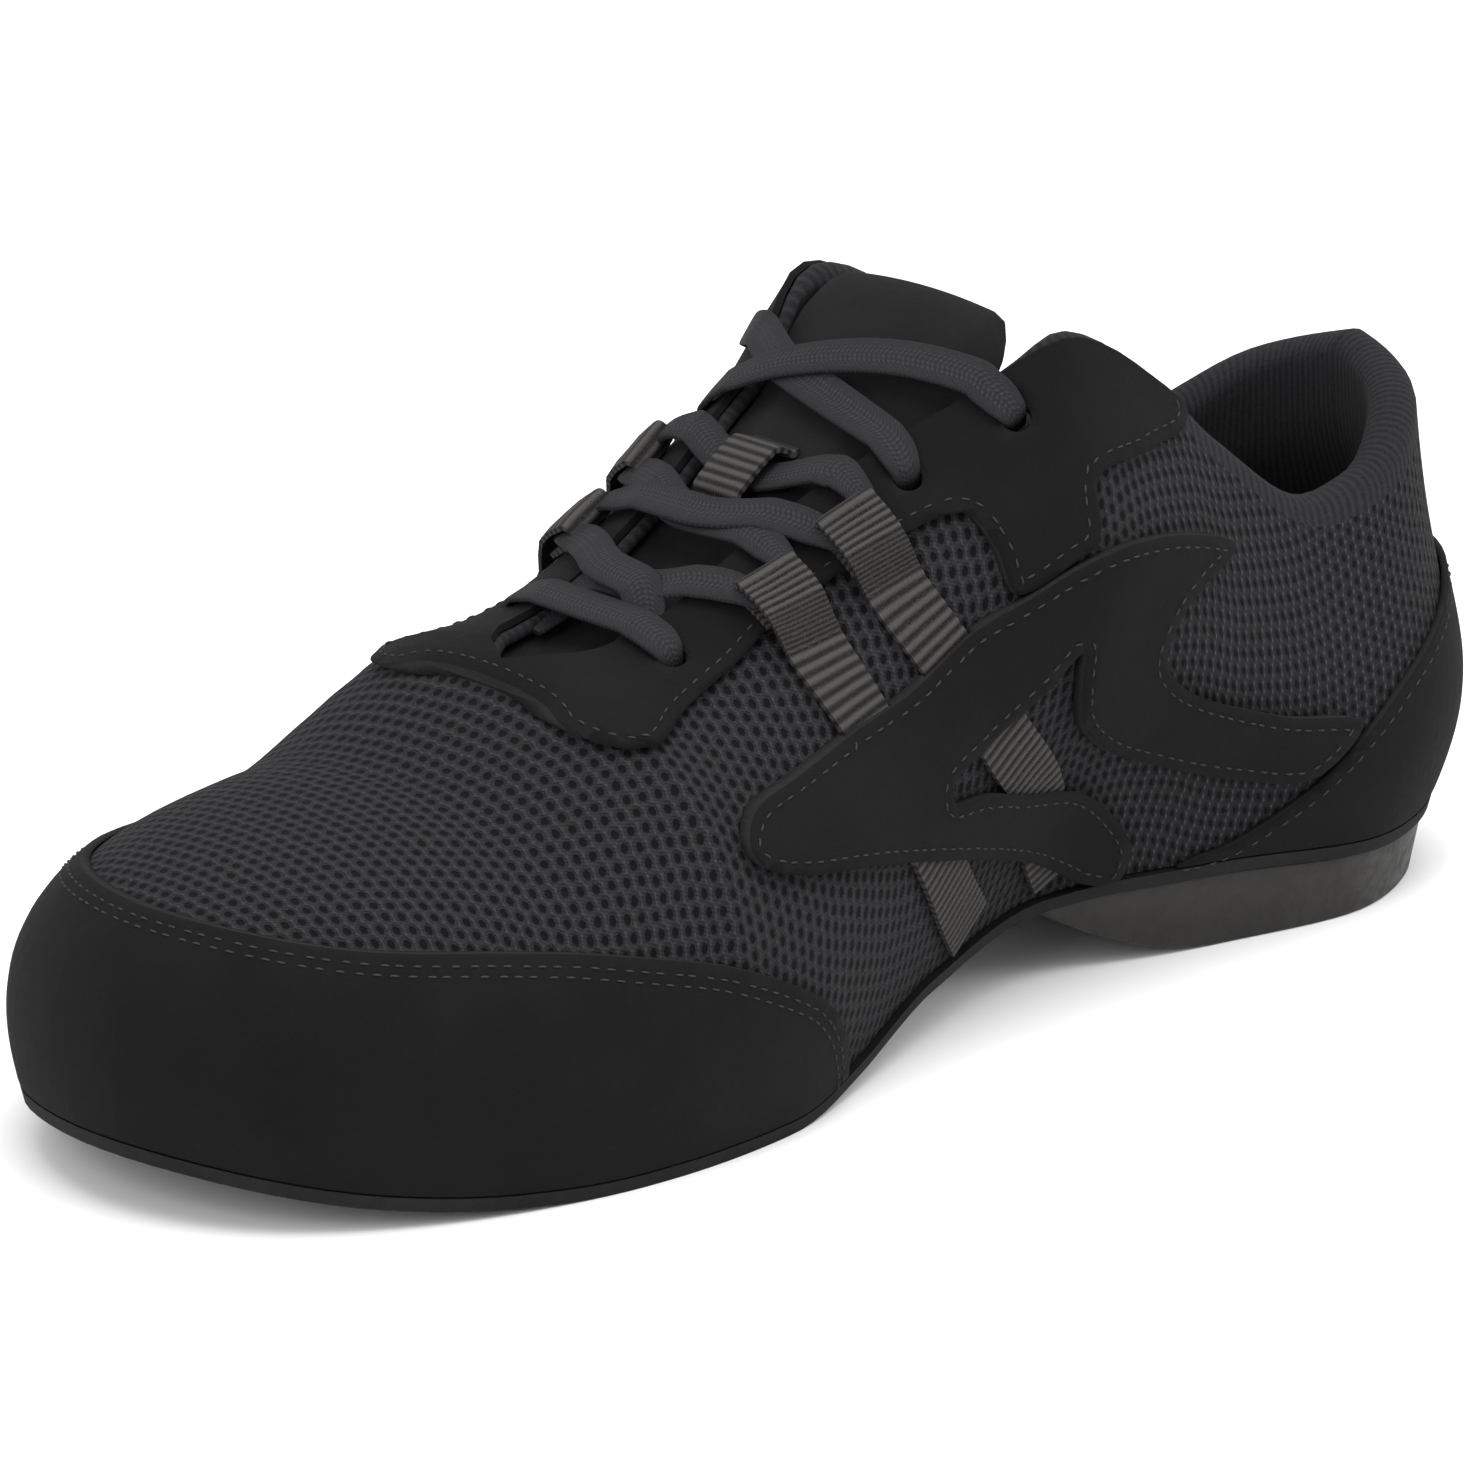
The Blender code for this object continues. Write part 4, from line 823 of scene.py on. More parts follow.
SOCK_LINING, tree, shader, spot, _ = dressed("sock_lining", 0.92, 0.02)
fleece = grain(tree, spot, 0.6 * MM, 4, 0.7)
worn = grain(tree, spot, 25 * MM, 2)
tone = mixed(tree, fleece, linear((19, 19, 20)), linear((38, 38, 41)))
tone = mixed(tree, ranged(tree, worn, 0.45, 0.75, 0, 0.35), tone, linear((45, 44, 42)))
tree.links.new(tone, shader.inputs["Base Color"])
tree.links.new(raised(tree, fleece, 0.3 * MM, 0.7), shader.inputs["Normal"])

insole_form = plate_form(
    (INSOLE_INSET, lambda x: seat_height(x) + GAP + INSOLE_THICK),
    (INSOLE_INSET, lambda x: seat_height(x) + 1.5 * GAP),
)
insole = finished("insole_foam", insole_form, SOCK_LINING)
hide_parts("insole")


# Overlays: suede panels sewn over the mesh with one row of pale thread, or two on the toe cap. Each
# is cut from a layer that follows the upper, and its raw edges show the paler inside of the leather.
FLANK_THICK = 1.9 * MM
STITCH_LONG = 1.5 * MM
STITCH_PITCH = 2.7 * MM
STITCH_THICK = 0.34 * MM
# Overlays. Each is the last's surface between two lifts, inside an outline drawn from the side.
# at is a share of SHOE_LENGTH; toe, instep and ankle are shares of those heights over the sole.
TOE_CAP = named_rows(
    "at toe",
    (0.570, -0.20),
    (0.578, 0.00),
    (0.600, 0.24),
    (0.620, 0.37),
    (0.650, 0.47),
    (0.700, 0.59),
    (0.760, 0.67),
    (0.825, 0.71),
    (0.895, 0.705),
    (0.970, 0.68),
    (1.030, 0.66),
    (1.030, -0.20),
)
EYESTAY = named_rows(
    "at instep",
    (0.285, 1.40),
    (0.285, 0.83),
    (0.330, 0.805),
    (0.382, 0.795),
    (0.388, 0.710),
    (0.394, 0.688),
    (0.401, 0.682),
    (0.442, 0.654),
    (0.449, 0.735),
    (0.458, 0.795),
    (0.500, 0.79),
    (0.545, 0.775),
    (0.580, 0.755),
    (0.616, 0.718),
    (0.653, 0.680),
    (0.683, 0.652),
    (0.708, 0.644),
    (0.722, 0.655),
    (0.729, 0.675),
    (0.731, 0.80),
    (0.731, 1.40),
)
# Over the vamp the front edge curves back toward the throat.
EYESTAY[-5:] = named_rows(
    "at instep",
    (0.704, 0.644),
    (0.715, 0.652),
    (0.718, 0.663),
    (0.714, 0.690),
    (0.711, 1.40),
)
COUNTER = named_rows(
    "at ankle",
    (0.285, -0.20),
    (0.275, 0.00),
    (0.235, 0.06),
    (0.190, 0.20),
    (0.150, 0.37),
    (0.119, 0.49),
    (0.060, 0.65),
    (0.030, 0.73),
    (-0.060, 0.80),
    (-0.060, -0.20),
)
FLANK = named_rows(
    "at instep",
    (0.669, 0.500),
    (0.656, 0.542),
    (0.616, 0.572),
    (0.573, 0.585),
    (0.523, 0.583),
    (0.476, 0.620),
    (0.442, 0.640),
    (0.401, 0.670),
    (0.369, 0.675),
    (0.310, 0.650),
    (0.263, 0.600),
    (0.300, 0.560),
    (0.322, 0.515),
    (0.332, 0.448),
    (0.313, 0.380),
    (0.224, 0.276),
    (0.160, 0.240),
    (0.166, 0.208),
    (0.196, 0.145),
    (0.252, 0.170),
    (0.316, 0.230),
    (0.366, 0.300),
    (0.392, 0.377),
    (0.400, 0.470),
    (0.402, 0.515),
    (0.424, 0.470),
    (0.467, 0.420),
    (0.496, 0.390),
    (0.496, 0.355),
    (0.462, 0.325),
    (0.420, 0.270),
    (0.371, 0.215),
    (0.335, 0.135),
    (0.316, 0.060),
    (0.320, 0.000),
    (0.345, 0.015),
    (0.366, 0.050),
    (0.400, 0.110),
    (0.476, 0.225),
    (0.568, 0.370),
    (0.643, 0.440),
    (0.664, 0.468),
)
STRAP_FRONT = named_rows(
    "at instep",
    (0.570, 0.775),
    (0.566, 0.690),
    (0.552, 0.555),
    (0.526, 0.380),
    (0.485, 0.180),
    (0.448, 0.050),
)
STRAP_REAR = named_rows(
    "at instep",
    (0.515, 0.812),
    (0.509, 0.720),
    (0.492, 0.600),
    (0.448, 0.405),
    (0.410, 0.262),
    (0.383, 0.120),
    (0.366, 0.055),
)
STRAPS = {"front": STRAP_FRONT, "rear": STRAP_REAR}


THREAD, tree, shader, spot, _ = dressed("stitching_thread", 0.6)
ply = grain(tree, spot, 0.3 * MM, 2)
tone = mixed(tree, ply, linear((31, 31, 32)), linear((63, 62, 61)))
tree.links.new(tone, shader.inputs["Base Color"])
tree.links.new(raised(tree, ply, 0.1 * MM, 0.6), shader.inputs["Normal"])


def layer(name, thick):
    """A closed layer over the whole upper, from GAP to GAP plus its thickness."""
    form = bmesh.new()
    station, row = wall_sheet(form)
    outward = {corner: corner.normal.copy() for corner in form.verts}
    origin = second_wall(form)
    lift_wall([v for v in form.verts if v not in origin], outward, row, lambda v: GAP + thick)
    lift_wall(origin, {new: outward[old] for new, old in origin.items()}, row, lambda v: GAP)
    bmesh.ops.bridge_loops(form, edges=edge_loops(form, lambda v: v[row] == 0))
    bmesh.ops.bridge_loops(form, edges=edge_loops(form, lambda v: v[row] == ROWS))
    bmesh.ops.recalc_face_normals(form, faces=form.faces)
    return finished(name, form, SUEDE)


def outline_block(name, table, share, height, sides):
    """A block with a smooth outline drawn from the side, through one side of the shoe or both."""
    corners = []
    for record in table:
        x = record["at"] * SHOE_LENGTH
        corners.append((x, seat_height(x) + record[share] * height))
    smooth = closed_curve(corners, 8)
    kept = []
    for i in range(len(corners)):
        here, after = table[i], table[(i + 1) % len(table)]
        outside = any(r[share] > 1 or r[share] < -0.1 or r["at"] > 1 or r["at"] < 0 for r in (here, after))
        kept += [corners[i]] if outside else list(smooth[8 * i : 8 * i + 8])
    near = -BALL_WIDTH if -1 in sides else 0.0
    far = BALL_WIDTH if 1 in sides else 0.0
    form = bmesh.new()
    bottom = form.faces.new([form.verts.new((x, near, z)) for x, z in kept])
    made = bmesh.ops.extrude_face_region(form, geom=[bottom])["geom"]
    moved = [g for g in made if isinstance(g, bmesh.types.BMVert)]
    bmesh.ops.translate(form, vec=(0, far - near, 0), verts=moved)
    bmesh.ops.holes_fill(form, edges=[e for e in form.edges if e.is_boundary])
    bmesh.ops.recalc_face_normals(form, faces=form.faces)
    return cutter(name, form, SUEDE_EDGE)


def panel(name, table, share, height, thick, sides=(1, -1)):
    """An overlay cut from a layer by its outline."""
    piece = layer(name, thick)
    block = outline_block(name + "_outline", table, share, height, sides)
    cut(piece, "INTERSECT", block)
    bpy.data.objects.remove(block)
    return piece


def outer_edges(piece):
    """The outlines that a panel was cut to, on its outer face: lists of (point, way in)."""
    form = bmesh.new()
    form.from_mesh(piece.data)
    form.normal_update()
    edge_stuff = [m.name for m in piece.data.materials].index(SUEDE_EDGE.name)
    ways = {}
    links = {}
    for edge in form.edges:
        if len(edge.link_faces) != 2:
            continue
        cut_faces = [f for f in edge.link_faces if f.material_index == edge_stuff]
        plain = [f for f in edge.link_faces if f.material_index != edge_stuff]
        if len(cut_faces) != 1:
            continue
        middle = (edge.verts[0].co + edge.verts[1].co) / 2
        normal = LAST_TREE.find_nearest(middle)[1]
        if plain[0].normal.dot(normal) < 0.5:
            continue
        tangent = edge.verts[1].co - edge.verts[0].co
        way = normal.cross(tangent).normalized()
        if way.dot(cut_faces[0].normal) > 0:
            way = -way
        for corner in edge.verts:
            ways.setdefault(corner, []).append(way)
        links.setdefault(edge.verts[0], []).append(edge.verts[1])
        links.setdefault(edge.verts[1], []).append(edge.verts[0])
    chains = []
    left = set(links)
    while left:
        ends = [v for v in left if len(links[v]) == 1]
        here = ends[0] if ends else next(iter(sorted(left, key=lambda v: v.index)))
        chain = []
        while here in left:
            left.discard(here)
            way = sum(ways[here], Vector()).normalized()
            chain.append((here.co.copy(), way))
            after = [v for v in links[here] if v in left]
            if after:
                here = after[0]
        if not ends:
            chain.append(chain[0])
        chains.append(chain)
    form.free()
    return chains


def seam(piece, inset, shortest=50 * MM):
    """A row of stitches inside a panel's cut edges."""
    lift = LAST_LIFTS[piece.name]
    form = bmesh.new()
    for chain in outer_edges(piece):
        length = sum((b[0] - a[0]).length for a, b in zip(chain, chain[1:]))
        if length < shortest:
            continue
        near = KDTree(len(chain))
        for number, (point, _) in enumerate(chain):
            near.insert(point, number)
        near.balance()
        route = []
        for a, b in zip(chain, chain[1:]):
            parts = max(1, round((b[0] - a[0]).length / (0.7 * MM)))
            for part in range(parts):
                share = part / parts
                point = a[0].lerp(b[0], share) + (a[1].lerp(b[1], share)).normalized() * inset
                if near.find(point)[2] > 0.9 * inset:
                    spot, normal, _, _ = LAST_TREE.find_nearest(point)
                    route.append((spot + normal * lift, normal))
        travelled = STITCH_PITCH
        for a, b in zip(route, route[1:]):
            step = (b[0] - a[0]).length
            if step > 3 * MM:
                travelled = STITCH_PITCH
                continue
            travelled += step
            if travelled < STITCH_PITCH or step < 0.05 * MM:
                continue
            travelled -= STITCH_PITCH
            if travelled > STITCH_PITCH:
                travelled = 0
            stitch(form, a[0], (b[0] - a[0]).normalized(), a[1])
    made = stitched(piece.name + "_stitching", form)
    return made


def stitch(form, middle, along, normal):
    """One stitch: a small pulled bead that dips at both ends."""
    aside = normal.cross(along).normalized()
    made = bmesh.ops.create_uvsphere(form, u_segments=6, v_segments=4, radius=1)["verts"]
    for corner in made:
        x, y, z = corner.co
        sunk = STITCH_THICK * 0.35 * (1 - z * z)
        corner.co = middle + along * z * STITCH_LONG / 2 + aside * x * STITCH_THICK / 2
        corner.co += normal * (y * STITCH_THICK / 2 + sunk)


def stitched(name, form):
    """The stitches of one seam as a piece, which stands where its panel already is."""
    mesh = bpy.data.meshes.new(name)
    bmesh.ops.recalc_face_normals(form, faces=form.faces)
    form.to_mesh(mesh)
    form.free()
    mesh.materials.append(THREAD)
    mesh.shade_smooth()
    made = bpy.data.objects.new(name, mesh)
    bpy.context.scene.collection.objects.link(made)
    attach(made, "root")
    return made


last_form = bmesh.new()
wall_sheet(last_form)
bmesh.ops.translate(last_form, vec=SHOE_PLACE, verts=last_form.verts)
LAST_TREE = BVHTree.FromBMesh(last_form)
last_form.free()
LAST_LIFTS = {}

toe_cap = panel("toe_cap_suede", TOE_CAP, "toe", TOE_BOX_HEIGHT, OVERLAY_THICK)
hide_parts("toe_cap")
LAST_LIFTS[toe_cap.name] = GAP + OVERLAY_THICK
seam(toe_cap, 2.0 * MM)
seam(toe_cap, 3.6 * MM).name = "toe_cap_suede_second_stitching"

counter = panel("heel_counter_suede", COUNTER, "ankle", ANKLE_HEIGHT, OVERLAY_THICK)
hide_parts("heel_counter")
LAST_LIFTS[counter.name] = GAP + OVERLAY_THICK
seam(counter, 2.2 * MM)

eyestay = panel("eyestay_suede", EYESTAY, "instep", INSTEP_HEIGHT, OVERLAY_THICK)
cut(eyestay, "DIFFERENCE", punch)
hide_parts("eyestay")
LAST_LIFTS[eyestay.name] = GAP + OVERLAY_THICK
seam(eyestay, 2.2 * MM)
bpy.data.objects.remove(punch)


# Webbing straps: ribbed tape that lies on the mesh from the sole up, passes under the flank's panel,
# climbs the eyestay and turns back under itself as a loop for the lace. A stitched line shuts it.
WEBBING_WIDTH = 10 * MM
WEBBING_THICK = 0.8 * MM
STRAP_RINGS = 46
STRAP_COLUMNS = 7
FINE_RINGS = 300
LOOP_RADIUS = 1.6 * MM
LOOP_FLAT = 4 * MM
LOOP_SIDES = 12
LOOP_TAIL = 8.5 * MM
LOOP_EASE = 13 * MM
CLIMB = 4 * MM
CHANNEL_ROOM = 0.35 * MM
CHANNEL_START = 9 * MM
CHANNEL_OVERRUN = 0.3
STRAP_GAP = 0.4 * MM
EYESTAY_LINK = 0.458
RIB_RISE = 0.3 * MM
LOOP_RIBS_END = 6 * MM
SMOOTH_END = 12.5 * MM
LOOP_RIB_PITCH = 1.25 * MM
SMOOTH_RIB_PITCH = 0.75 * MM
COARSE_RIB_PITCH = 1.75 * MM


def smooth_line(points, count):
    """Evenly counted points on a smooth open line through the given ones."""
    points = np.array(points)
    gaps = np.linalg.norm(np.diff(points, axis=0), axis=1)
    place = np.concatenate([[0.0], np.cumsum(gaps)])
    tables = [
        named_rows("at value", *zip(place, points[:, k])) for k in range(points.shape[1])
    ]
    return np.array(
        [[column(t, "value", s) for t in tables] for s in np.linspace(0, place[-1], count)]
    )


def eyestay_edge(at):
    """The eyestay's lower border as a share of the instep's height, ahead of its link."""
    border = [row for row in EYESTAY if EYESTAY_LINK <= row["at"] <= THROAT_FRONT]
    return column(border, "instep", at)


def resting_lift(x, height):
    """Where a strap's middle rides over the last: on the mesh, or over the eyestay."""
    share = (height - seat_height(x)) / INSTEP_HEIGHT
    over = (share - eyestay_edge(x / SHOE_LENGTH)) * INSTEP_HEIGHT
    part = min(max((over + 1.5 * CLIMB) / CLIMB, 0.0), 1.0)
    return STRAP_GAP + WEBBING_THICK / 2 + part * part * (3 - 2 * part) * (OVERLAY_THICK + GAP)


def strap_route(table, count):
    """Points (x, height) down a strap, evenly spaced."""
    rows = [(r["at"] * SHOE_LENGTH, r["instep"] * INSTEP_HEIGHT) for r in table]
    line = smooth_line(rows, count)
    return [(x, seat_height(x) + over) for x, over in line]


def strap_sheet(side, route, width, lift):
    """Points across a strap at each place of its route, at a lift over the last."""
    found = []
    for i, (x, height) in enumerate(route):
        ahead = skin(side, *route[min(i + 1, len(route) - 1)])[0]
        along = skin(side, *route[max(i - 1, 0)])[0] - ahead
        aside = np.cross(along, skin(side, x, height)[1])
        aside *= width / 2 / np.linalg.norm(aside)
        row = []
        for k in np.linspace(-1, 1, STRAP_COLUMNS):
            near, out = skin(side, x + aside[0] * k, height + aside[2] * k)
            row.append(near + out * lift(x + aside[0] * k, height + aside[2] * k))
        found.append(row)
    return np.array(found)


def rib_count(run):
    """How many ribs lie before a distance along a tape, and how deep they are there."""
    if run < LOOP_RIBS_END:
        return run / LOOP_RIB_PITCH, 1.0
    before = LOOP_RIBS_END / LOOP_RIB_PITCH
    if run < SMOOTH_END:
        return before + (run - LOOP_RIBS_END) / SMOOTH_RIB_PITCH, 0.22
    before += (SMOOTH_END - LOOP_RIBS_END) / SMOOTH_RIB_PITCH
    return before + (run - SMOOTH_END) / COARSE_RIB_PITCH, 1.0


def resampled(rows, count):
    """The rows of points at even distances along their middle, and those distances."""
    rows = np.array(rows)
    middle = rows[:, rows.shape[1] // 2]
    place = np.concatenate([[0.0], np.cumsum(np.linalg.norm(np.diff(middle, axis=0), axis=1))])
    wanted = np.linspace(0, place[-1], count)
    flat = rows.reshape(len(rows), -1)
    found = np.array([np.interp(wanted, place, flat[:, k]) for k in range(flat.shape[1])]).T
    return found.reshape(count, *rows.shape[1:]), wanted


def tape(name, outward, inward, start, ribs):
    """A ribbed tape between two faces of points. ribs gives (rib number, depth) at a distance."""
    rings = np.concatenate([outward, inward[:, ::-1]], axis=1)
    rings, place = resampled(rings, FINE_RINGS)
    width = outward.shape[1]
    size = rings.shape[1]
    facing = rings[:, width // 2] - rings[:, size - 1 - width // 2]
    facing /= np.linalg.norm(facing, axis=1)[:, None]
    form = bmesh.new()
    depth = form.verts.layers.float.new("ribbed")
    counted = [ribs(run - start) for run in place]

    def place_at(i, j):
        number, deep = counted[i]
        wave = 0.5 + 0.5 * math.cos(2 * math.pi * number)
        away = facing[i] if j % size < width else -facing[i] * 0.4
        edge = 0.25 if j % size in (0, width - 1, width, size - 1) else 1.0
        return Vector(rings[i][j % size] + away * wave * deep * RIB_RISE * edge)

    def run(i, j):
        return counted[i][0], (j % size if j % size < width else size - 1 - j % size) / (width - 1)

    spots = sheet(form, FINE_RINGS - 1, size, place_at, run)
    for corner, (i, _) in spots.items():
        corner[depth] = counted[i][1]
    bmesh.ops.remove_doubles(form, verts=form.verts, dist=0.002 * MM)
    bmesh.ops.holes_fill(form, edges=[e for e in form.edges if e.is_boundary])
    bmesh.ops.recalc_face_normals(form, faces=form.faces)
    return finished(name, form, WEBBING)


WEBBING, tree, shader, spot, weave_spot = dressed("webbing", 0.65, 0.01)
split = linked(tree, "ShaderNodeSeparateXYZ", Vector=weave_spot)
deep = tree.nodes.new("ShaderNodeAttribute")
deep.attribute_name = "ribbed"
# Painted light and shade: the colour follows the ribs, with their crests painted lighter as painted highlight
# and the grooves between them painted darker as painted shade, most strongly where the ribs are deep.
turn = sums(tree, "MULTIPLY", split.outputs["X"], 2 * math.pi)
top = sums(tree, "MULTIPLY_ADD", sums(tree, "COSINE", turn), 0.5, 0.5)
top = sums(tree, "MULTIPLY", top, ranged(tree, deep.outputs["Fac"], 0.0, 1.0, 0.45, 1.0))
yarns = sums(tree, "SINE", sums(tree, "MULTIPLY", split.outputs["Y"], 2 * math.pi * 26))
yarns = sums(tree, "MULTIPLY_ADD", yarns, 0.5, 0.5)
fuzz = grain(tree, spot, 0.35 * MM, 3, 0.7)
# The rib crests get the pale colour as painted highlight and the grooves the dark one as painted shade.
tone = mixed(tree, ranged(tree, top, 0.1, 0.9), linear((20, 20, 20)), linear((67, 64, 62)))
tone = mixed(tree, sums(tree, "MULTIPLY", yarns, 0.35), tone, linear((27, 27, 27)))
tone = mixed(tree, ranged(tree, fuzz, 0.5, 0.8, 0, 0.4), tone, linear((82, 79, 76)))
tree.links.new(tone, shader.inputs["Base Color"])
low = raised(tree, yarns, 0.12 * MM, 0.6)
tree.links.new(raised(tree, fuzz, 0.15 * MM, 0.5, low), shader.inputs["Normal"])


def webbing(side, place):
    """A strap with its loop, as one tape folded over at its upper end."""
    route = strap_route(STRAPS[place], STRAP_RINGS)
    half = WEBBING_THICK / 2
    outer = strap_sheet(side, route, WEBBING_WIDTH, lambda x, z: resting_lift(x, z) + half)
    inner = strap_sheet(side, route, WEBBING_WIDTH, lambda x, z: resting_lift(x, z) - half)
    normal = skin(side, *route[0])[1]
    middle = STRAP_COLUMNS // 2
    away = outer[:, middle] - outer[0, middle]
    far = np.linalg.norm(away, axis=1)
    top, low = [], []
    for i in range(len(route)):
        part = min(max((LOOP_EASE - far[i]) / (LOOP_EASE - LOOP_FLAT), 0.0), 1.0)
        lifted = 2 * LOOP_RADIUS * part * part * (3 - 2 * part) * normal
        top.append(outer[i] + lifted)
        low.append(inner[i] + lifted)
    down = away[4] / np.linalg.norm(away[4])
    centre = (outer[0] + inner[0]) / 2 + normal * LOOP_RADIUS
    turn_outer, turn_inner = [], []
    for k in range(1, LOOP_SIDES):
        turn = math.pi * k / LOOP_SIDES
        swing = normal * math.cos(turn) - down * math.sin(turn)
        turn_outer.append(centre + swing * (LOOP_RADIUS + half))
        turn_inner.append(centre + swing * (LOOP_RADIUS - half))
    tail = [i for i in range(len(route)) if far[i] < LOOP_TAIL]
    outward = np.array((top[::-1] + turn_outer + [inner[i] for i in tail])[::-1])
    inward = np.array((low[::-1] + turn_inner + [outer[i] for i in tail])[::-1])
    start = far[tail[-1]] + math.pi * LOOP_RADIUS
    name = f"webbing_{place}_{SIDE_NAMES[side]}"
    made = tape(name + "_tape", outward, inward, start, rib_count)
    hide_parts(name)
    form = bmesh.new()
    steps = np.linalg.norm(np.diff(outer[:, middle], axis=0), axis=1)
    shut = int(np.searchsorted(np.cumsum(steps), SMOOTH_END + 0.3 * MM))
    ends = np.array(top[shut]) + np.array(SHOE_PLACE)
    for share in np.linspace(0.1, 0.9, 5):
        point = ends[0] + (ends[-1] - ends[0]) * share
        bulge = ends[middle] - (ends[0] + ends[-1]) / 2
        point += bulge * (1 - (2 * share - 1) ** 2)
        along = Vector(ends[-1] - ends[0]).normalized()
        stitch(form, Vector(point), along, Vector(normal))
    stitched(name + "_stitching", form)
    return made


for side in (1, -1):
    for place in STRAPS:
        webbing(side, place)


# Flank panels: a loop of thicker suede on each side, sewn over the straps and joined to the
# eyestay's link. A channel under it leaves room for the two straps.
def channels(side):
    """The room that both straps take under the flank's panel."""
    width = WEBBING_WIDTH + 2 * CHANNEL_ROOM
    form = bmesh.new()
    for table in STRAPS.values():
        whole = np.array(strap_route(table, 14))
        route = [p for p in whole if np.linalg.norm(p - whole[0]) > CHANNEL_START]
        route.append(route[-1] + (route[-1] - route[-2]) * CHANNEL_OVERRUN)
        room = STRAP_GAP + WEBBING_THICK + CHANNEL_ROOM
        top = strap_sheet(side, route, width, lambda x, z: room)
        low = strap_sheet(side, route, width, lambda x, z: -GAP)
        rings = np.concatenate([top, low[:, ::-1]], axis=1)
        size = rings.shape[1]
        sheet(form, len(route) - 1, size, lambda i, j: Vector(rings[i][j % size]), lambda i, j: (0, 0))
    bmesh.ops.remove_doubles(form, verts=form.verts, dist=0.01 * MM)
    bmesh.ops.holes_fill(form, edges=[e for e in form.edges if e.is_boundary])
    bmesh.ops.recalc_face_normals(form, faces=form.faces)
    return cutter("channels_" + SIDE_NAMES[side], form, SUEDE_EDGE)


for side in (1, -1):
    name = "flank_" + SIDE_NAMES[side]
    flank = panel(name + "_suede", FLANK, "instep", INSTEP_HEIGHT, FLANK_THICK, (side,))
    room = channels(side)
    cut(flank, "DIFFERENCE", room, crossed=True)
    bpy.data.objects.remove(room)
    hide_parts(name)
    LAST_LIFTS[flank.name] = GAP + FLANK_THICK
    seam(flank, 1.9 * MM)


# Tongue: a padded suede tongue from under the vamp to the top of the throat. Its edges are turned
# and sewn down, so it is thickest along its middle.
TONGUE_THICK = 5.5 * MM
# The tongue: from under the vamp, along the throat, to its padded top. half_width is a share of
# half of THROAT_WIDTH, thick a share of TONGUE_THICK, and crown says how many times TONGUE_CROWN
# its middle stands over the throat's edges, or sinks between them.
TONGUE = named_rows(
    "at half_width thick crown",
    (0.378, 0.75, 0.60, 0.50),
    (0.386, 1.00, 0.90, 0.65),
    (0.400, 1.15, 1.00, 0.75),
    (0.425, 1.20, 1.00, 0.65),
    (0.450, 1.20, 1.00, 0.40),
    (0.475, 1.18, 1.00, 0.15),
    (0.500, 1.12, 0.95, -0.10),
    (0.526, 1.05, 0.90, -0.30),
    (0.550, 1.00, 0.90, -0.55),
    (0.600, 0.90, 0.80, -0.70),
    (0.650, 0.80, 0.65, -0.50),
    (0.690, 0.70, 0.55, -0.35),
    (0.725, 0.60, 0.40, 0.00),
)
TONGUE_STATIONS = 60
TONGUE_COLUMNS = 28
TONGUE_CLEAR = 1.0 * MM
TONGUE_CROWN = 6 * MM
TONGUE_EASE = 9 * MM
TONGUE_EDGE_THINS = 0.65
TONGUE_EDGE_POWER = 6


def throat_arch(at, across):
    """The surface that closes the throat: the wall beyond its edges, an arch between them."""
    half = top_half_width(at)
    if abs(across) >= half:
        return skin_at_reach(math.copysign(1.0, across), at, abs(across))
    rise = column(TONGUE, "crown", at) * TONGUE_CROWN * (1 - (across / half) ** 2)
    x, y = spine(at)
    return np.array([x, y + across, top_height(at) + rise])


def tongue_faces():
    """The tongue's upper and under corners, by station and column."""
    upper_side, under_side = [], []
    step = 0.5 * MM
    for at in np.linspace(TONGUE[0]["at"], TONGUE[-1]["at"], TONGUE_STATIONS + 1):
        width = column(TONGUE, "half_width", at) * THROAT_WIDTH / 2
        thick = column(TONGUE, "thick", at) * TONGUE_THICK
        half = top_half_width(at)
        upper_side.append([])
        under_side.append([])
        for k in range(TONGUE_COLUMNS + 1):
            place = (2 * k / TONGUE_COLUMNS - 1) * width
            here = throat_arch(at, place)
            rise = throat_arch(at, place + step) - throat_arch(at, place - step)
            normal = np.array([0.0, -rise[2], rise[1]]) / math.hypot(rise[1], rise[2])
            under = wall_thickness(at, top_height(at) - here[2]) + TONGUE_CLEAR
            covered = min(max((abs(place) - half + TONGUE_EASE) / TONGUE_EASE, 0.0), 1.0)
            thin = 1 - TONGUE_EDGE_THINS * (abs(place) / width) ** TONGUE_EDGE_POWER
            upper_side[-1].append(here - normal * under * covered)
            under_side[-1].append(here - normal * (under * covered + thick * thin))
    return upper_side, under_side


TONGUE_SUEDE = suede("tongue_suede", (20, 20, 21), (30, 30, 31))
faces = tongue_faces()
tongue_form = bmesh.new()
for side, corners in zip((1, -1), faces):
    sheet(
        tongue_form, TONGUE_STATIONS, TONGUE_COLUMNS,
        lambda i, j: Vector(corners[i][j]), lambda i, j: tuple(corners[i][j][:2]), turned=side < 0,
    )
rims = edge_loops(tongue_form, lambda v: True)
bmesh.ops.bridge_loops(tongue_form, edges=rims)
bmesh.ops.recalc_face_normals(tongue_form, faces=tongue_form.faces)
bmesh.ops.bevel(
    tongue_form, geom=rims, offset=0.4 * MM, segments=2, profile=0.5, affect="EDGES", material=-1,
    clamp_overlap=True,
)
tongue = finished("tongue_padded", tongue_form, TONGUE_SUEDE)
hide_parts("tongue")


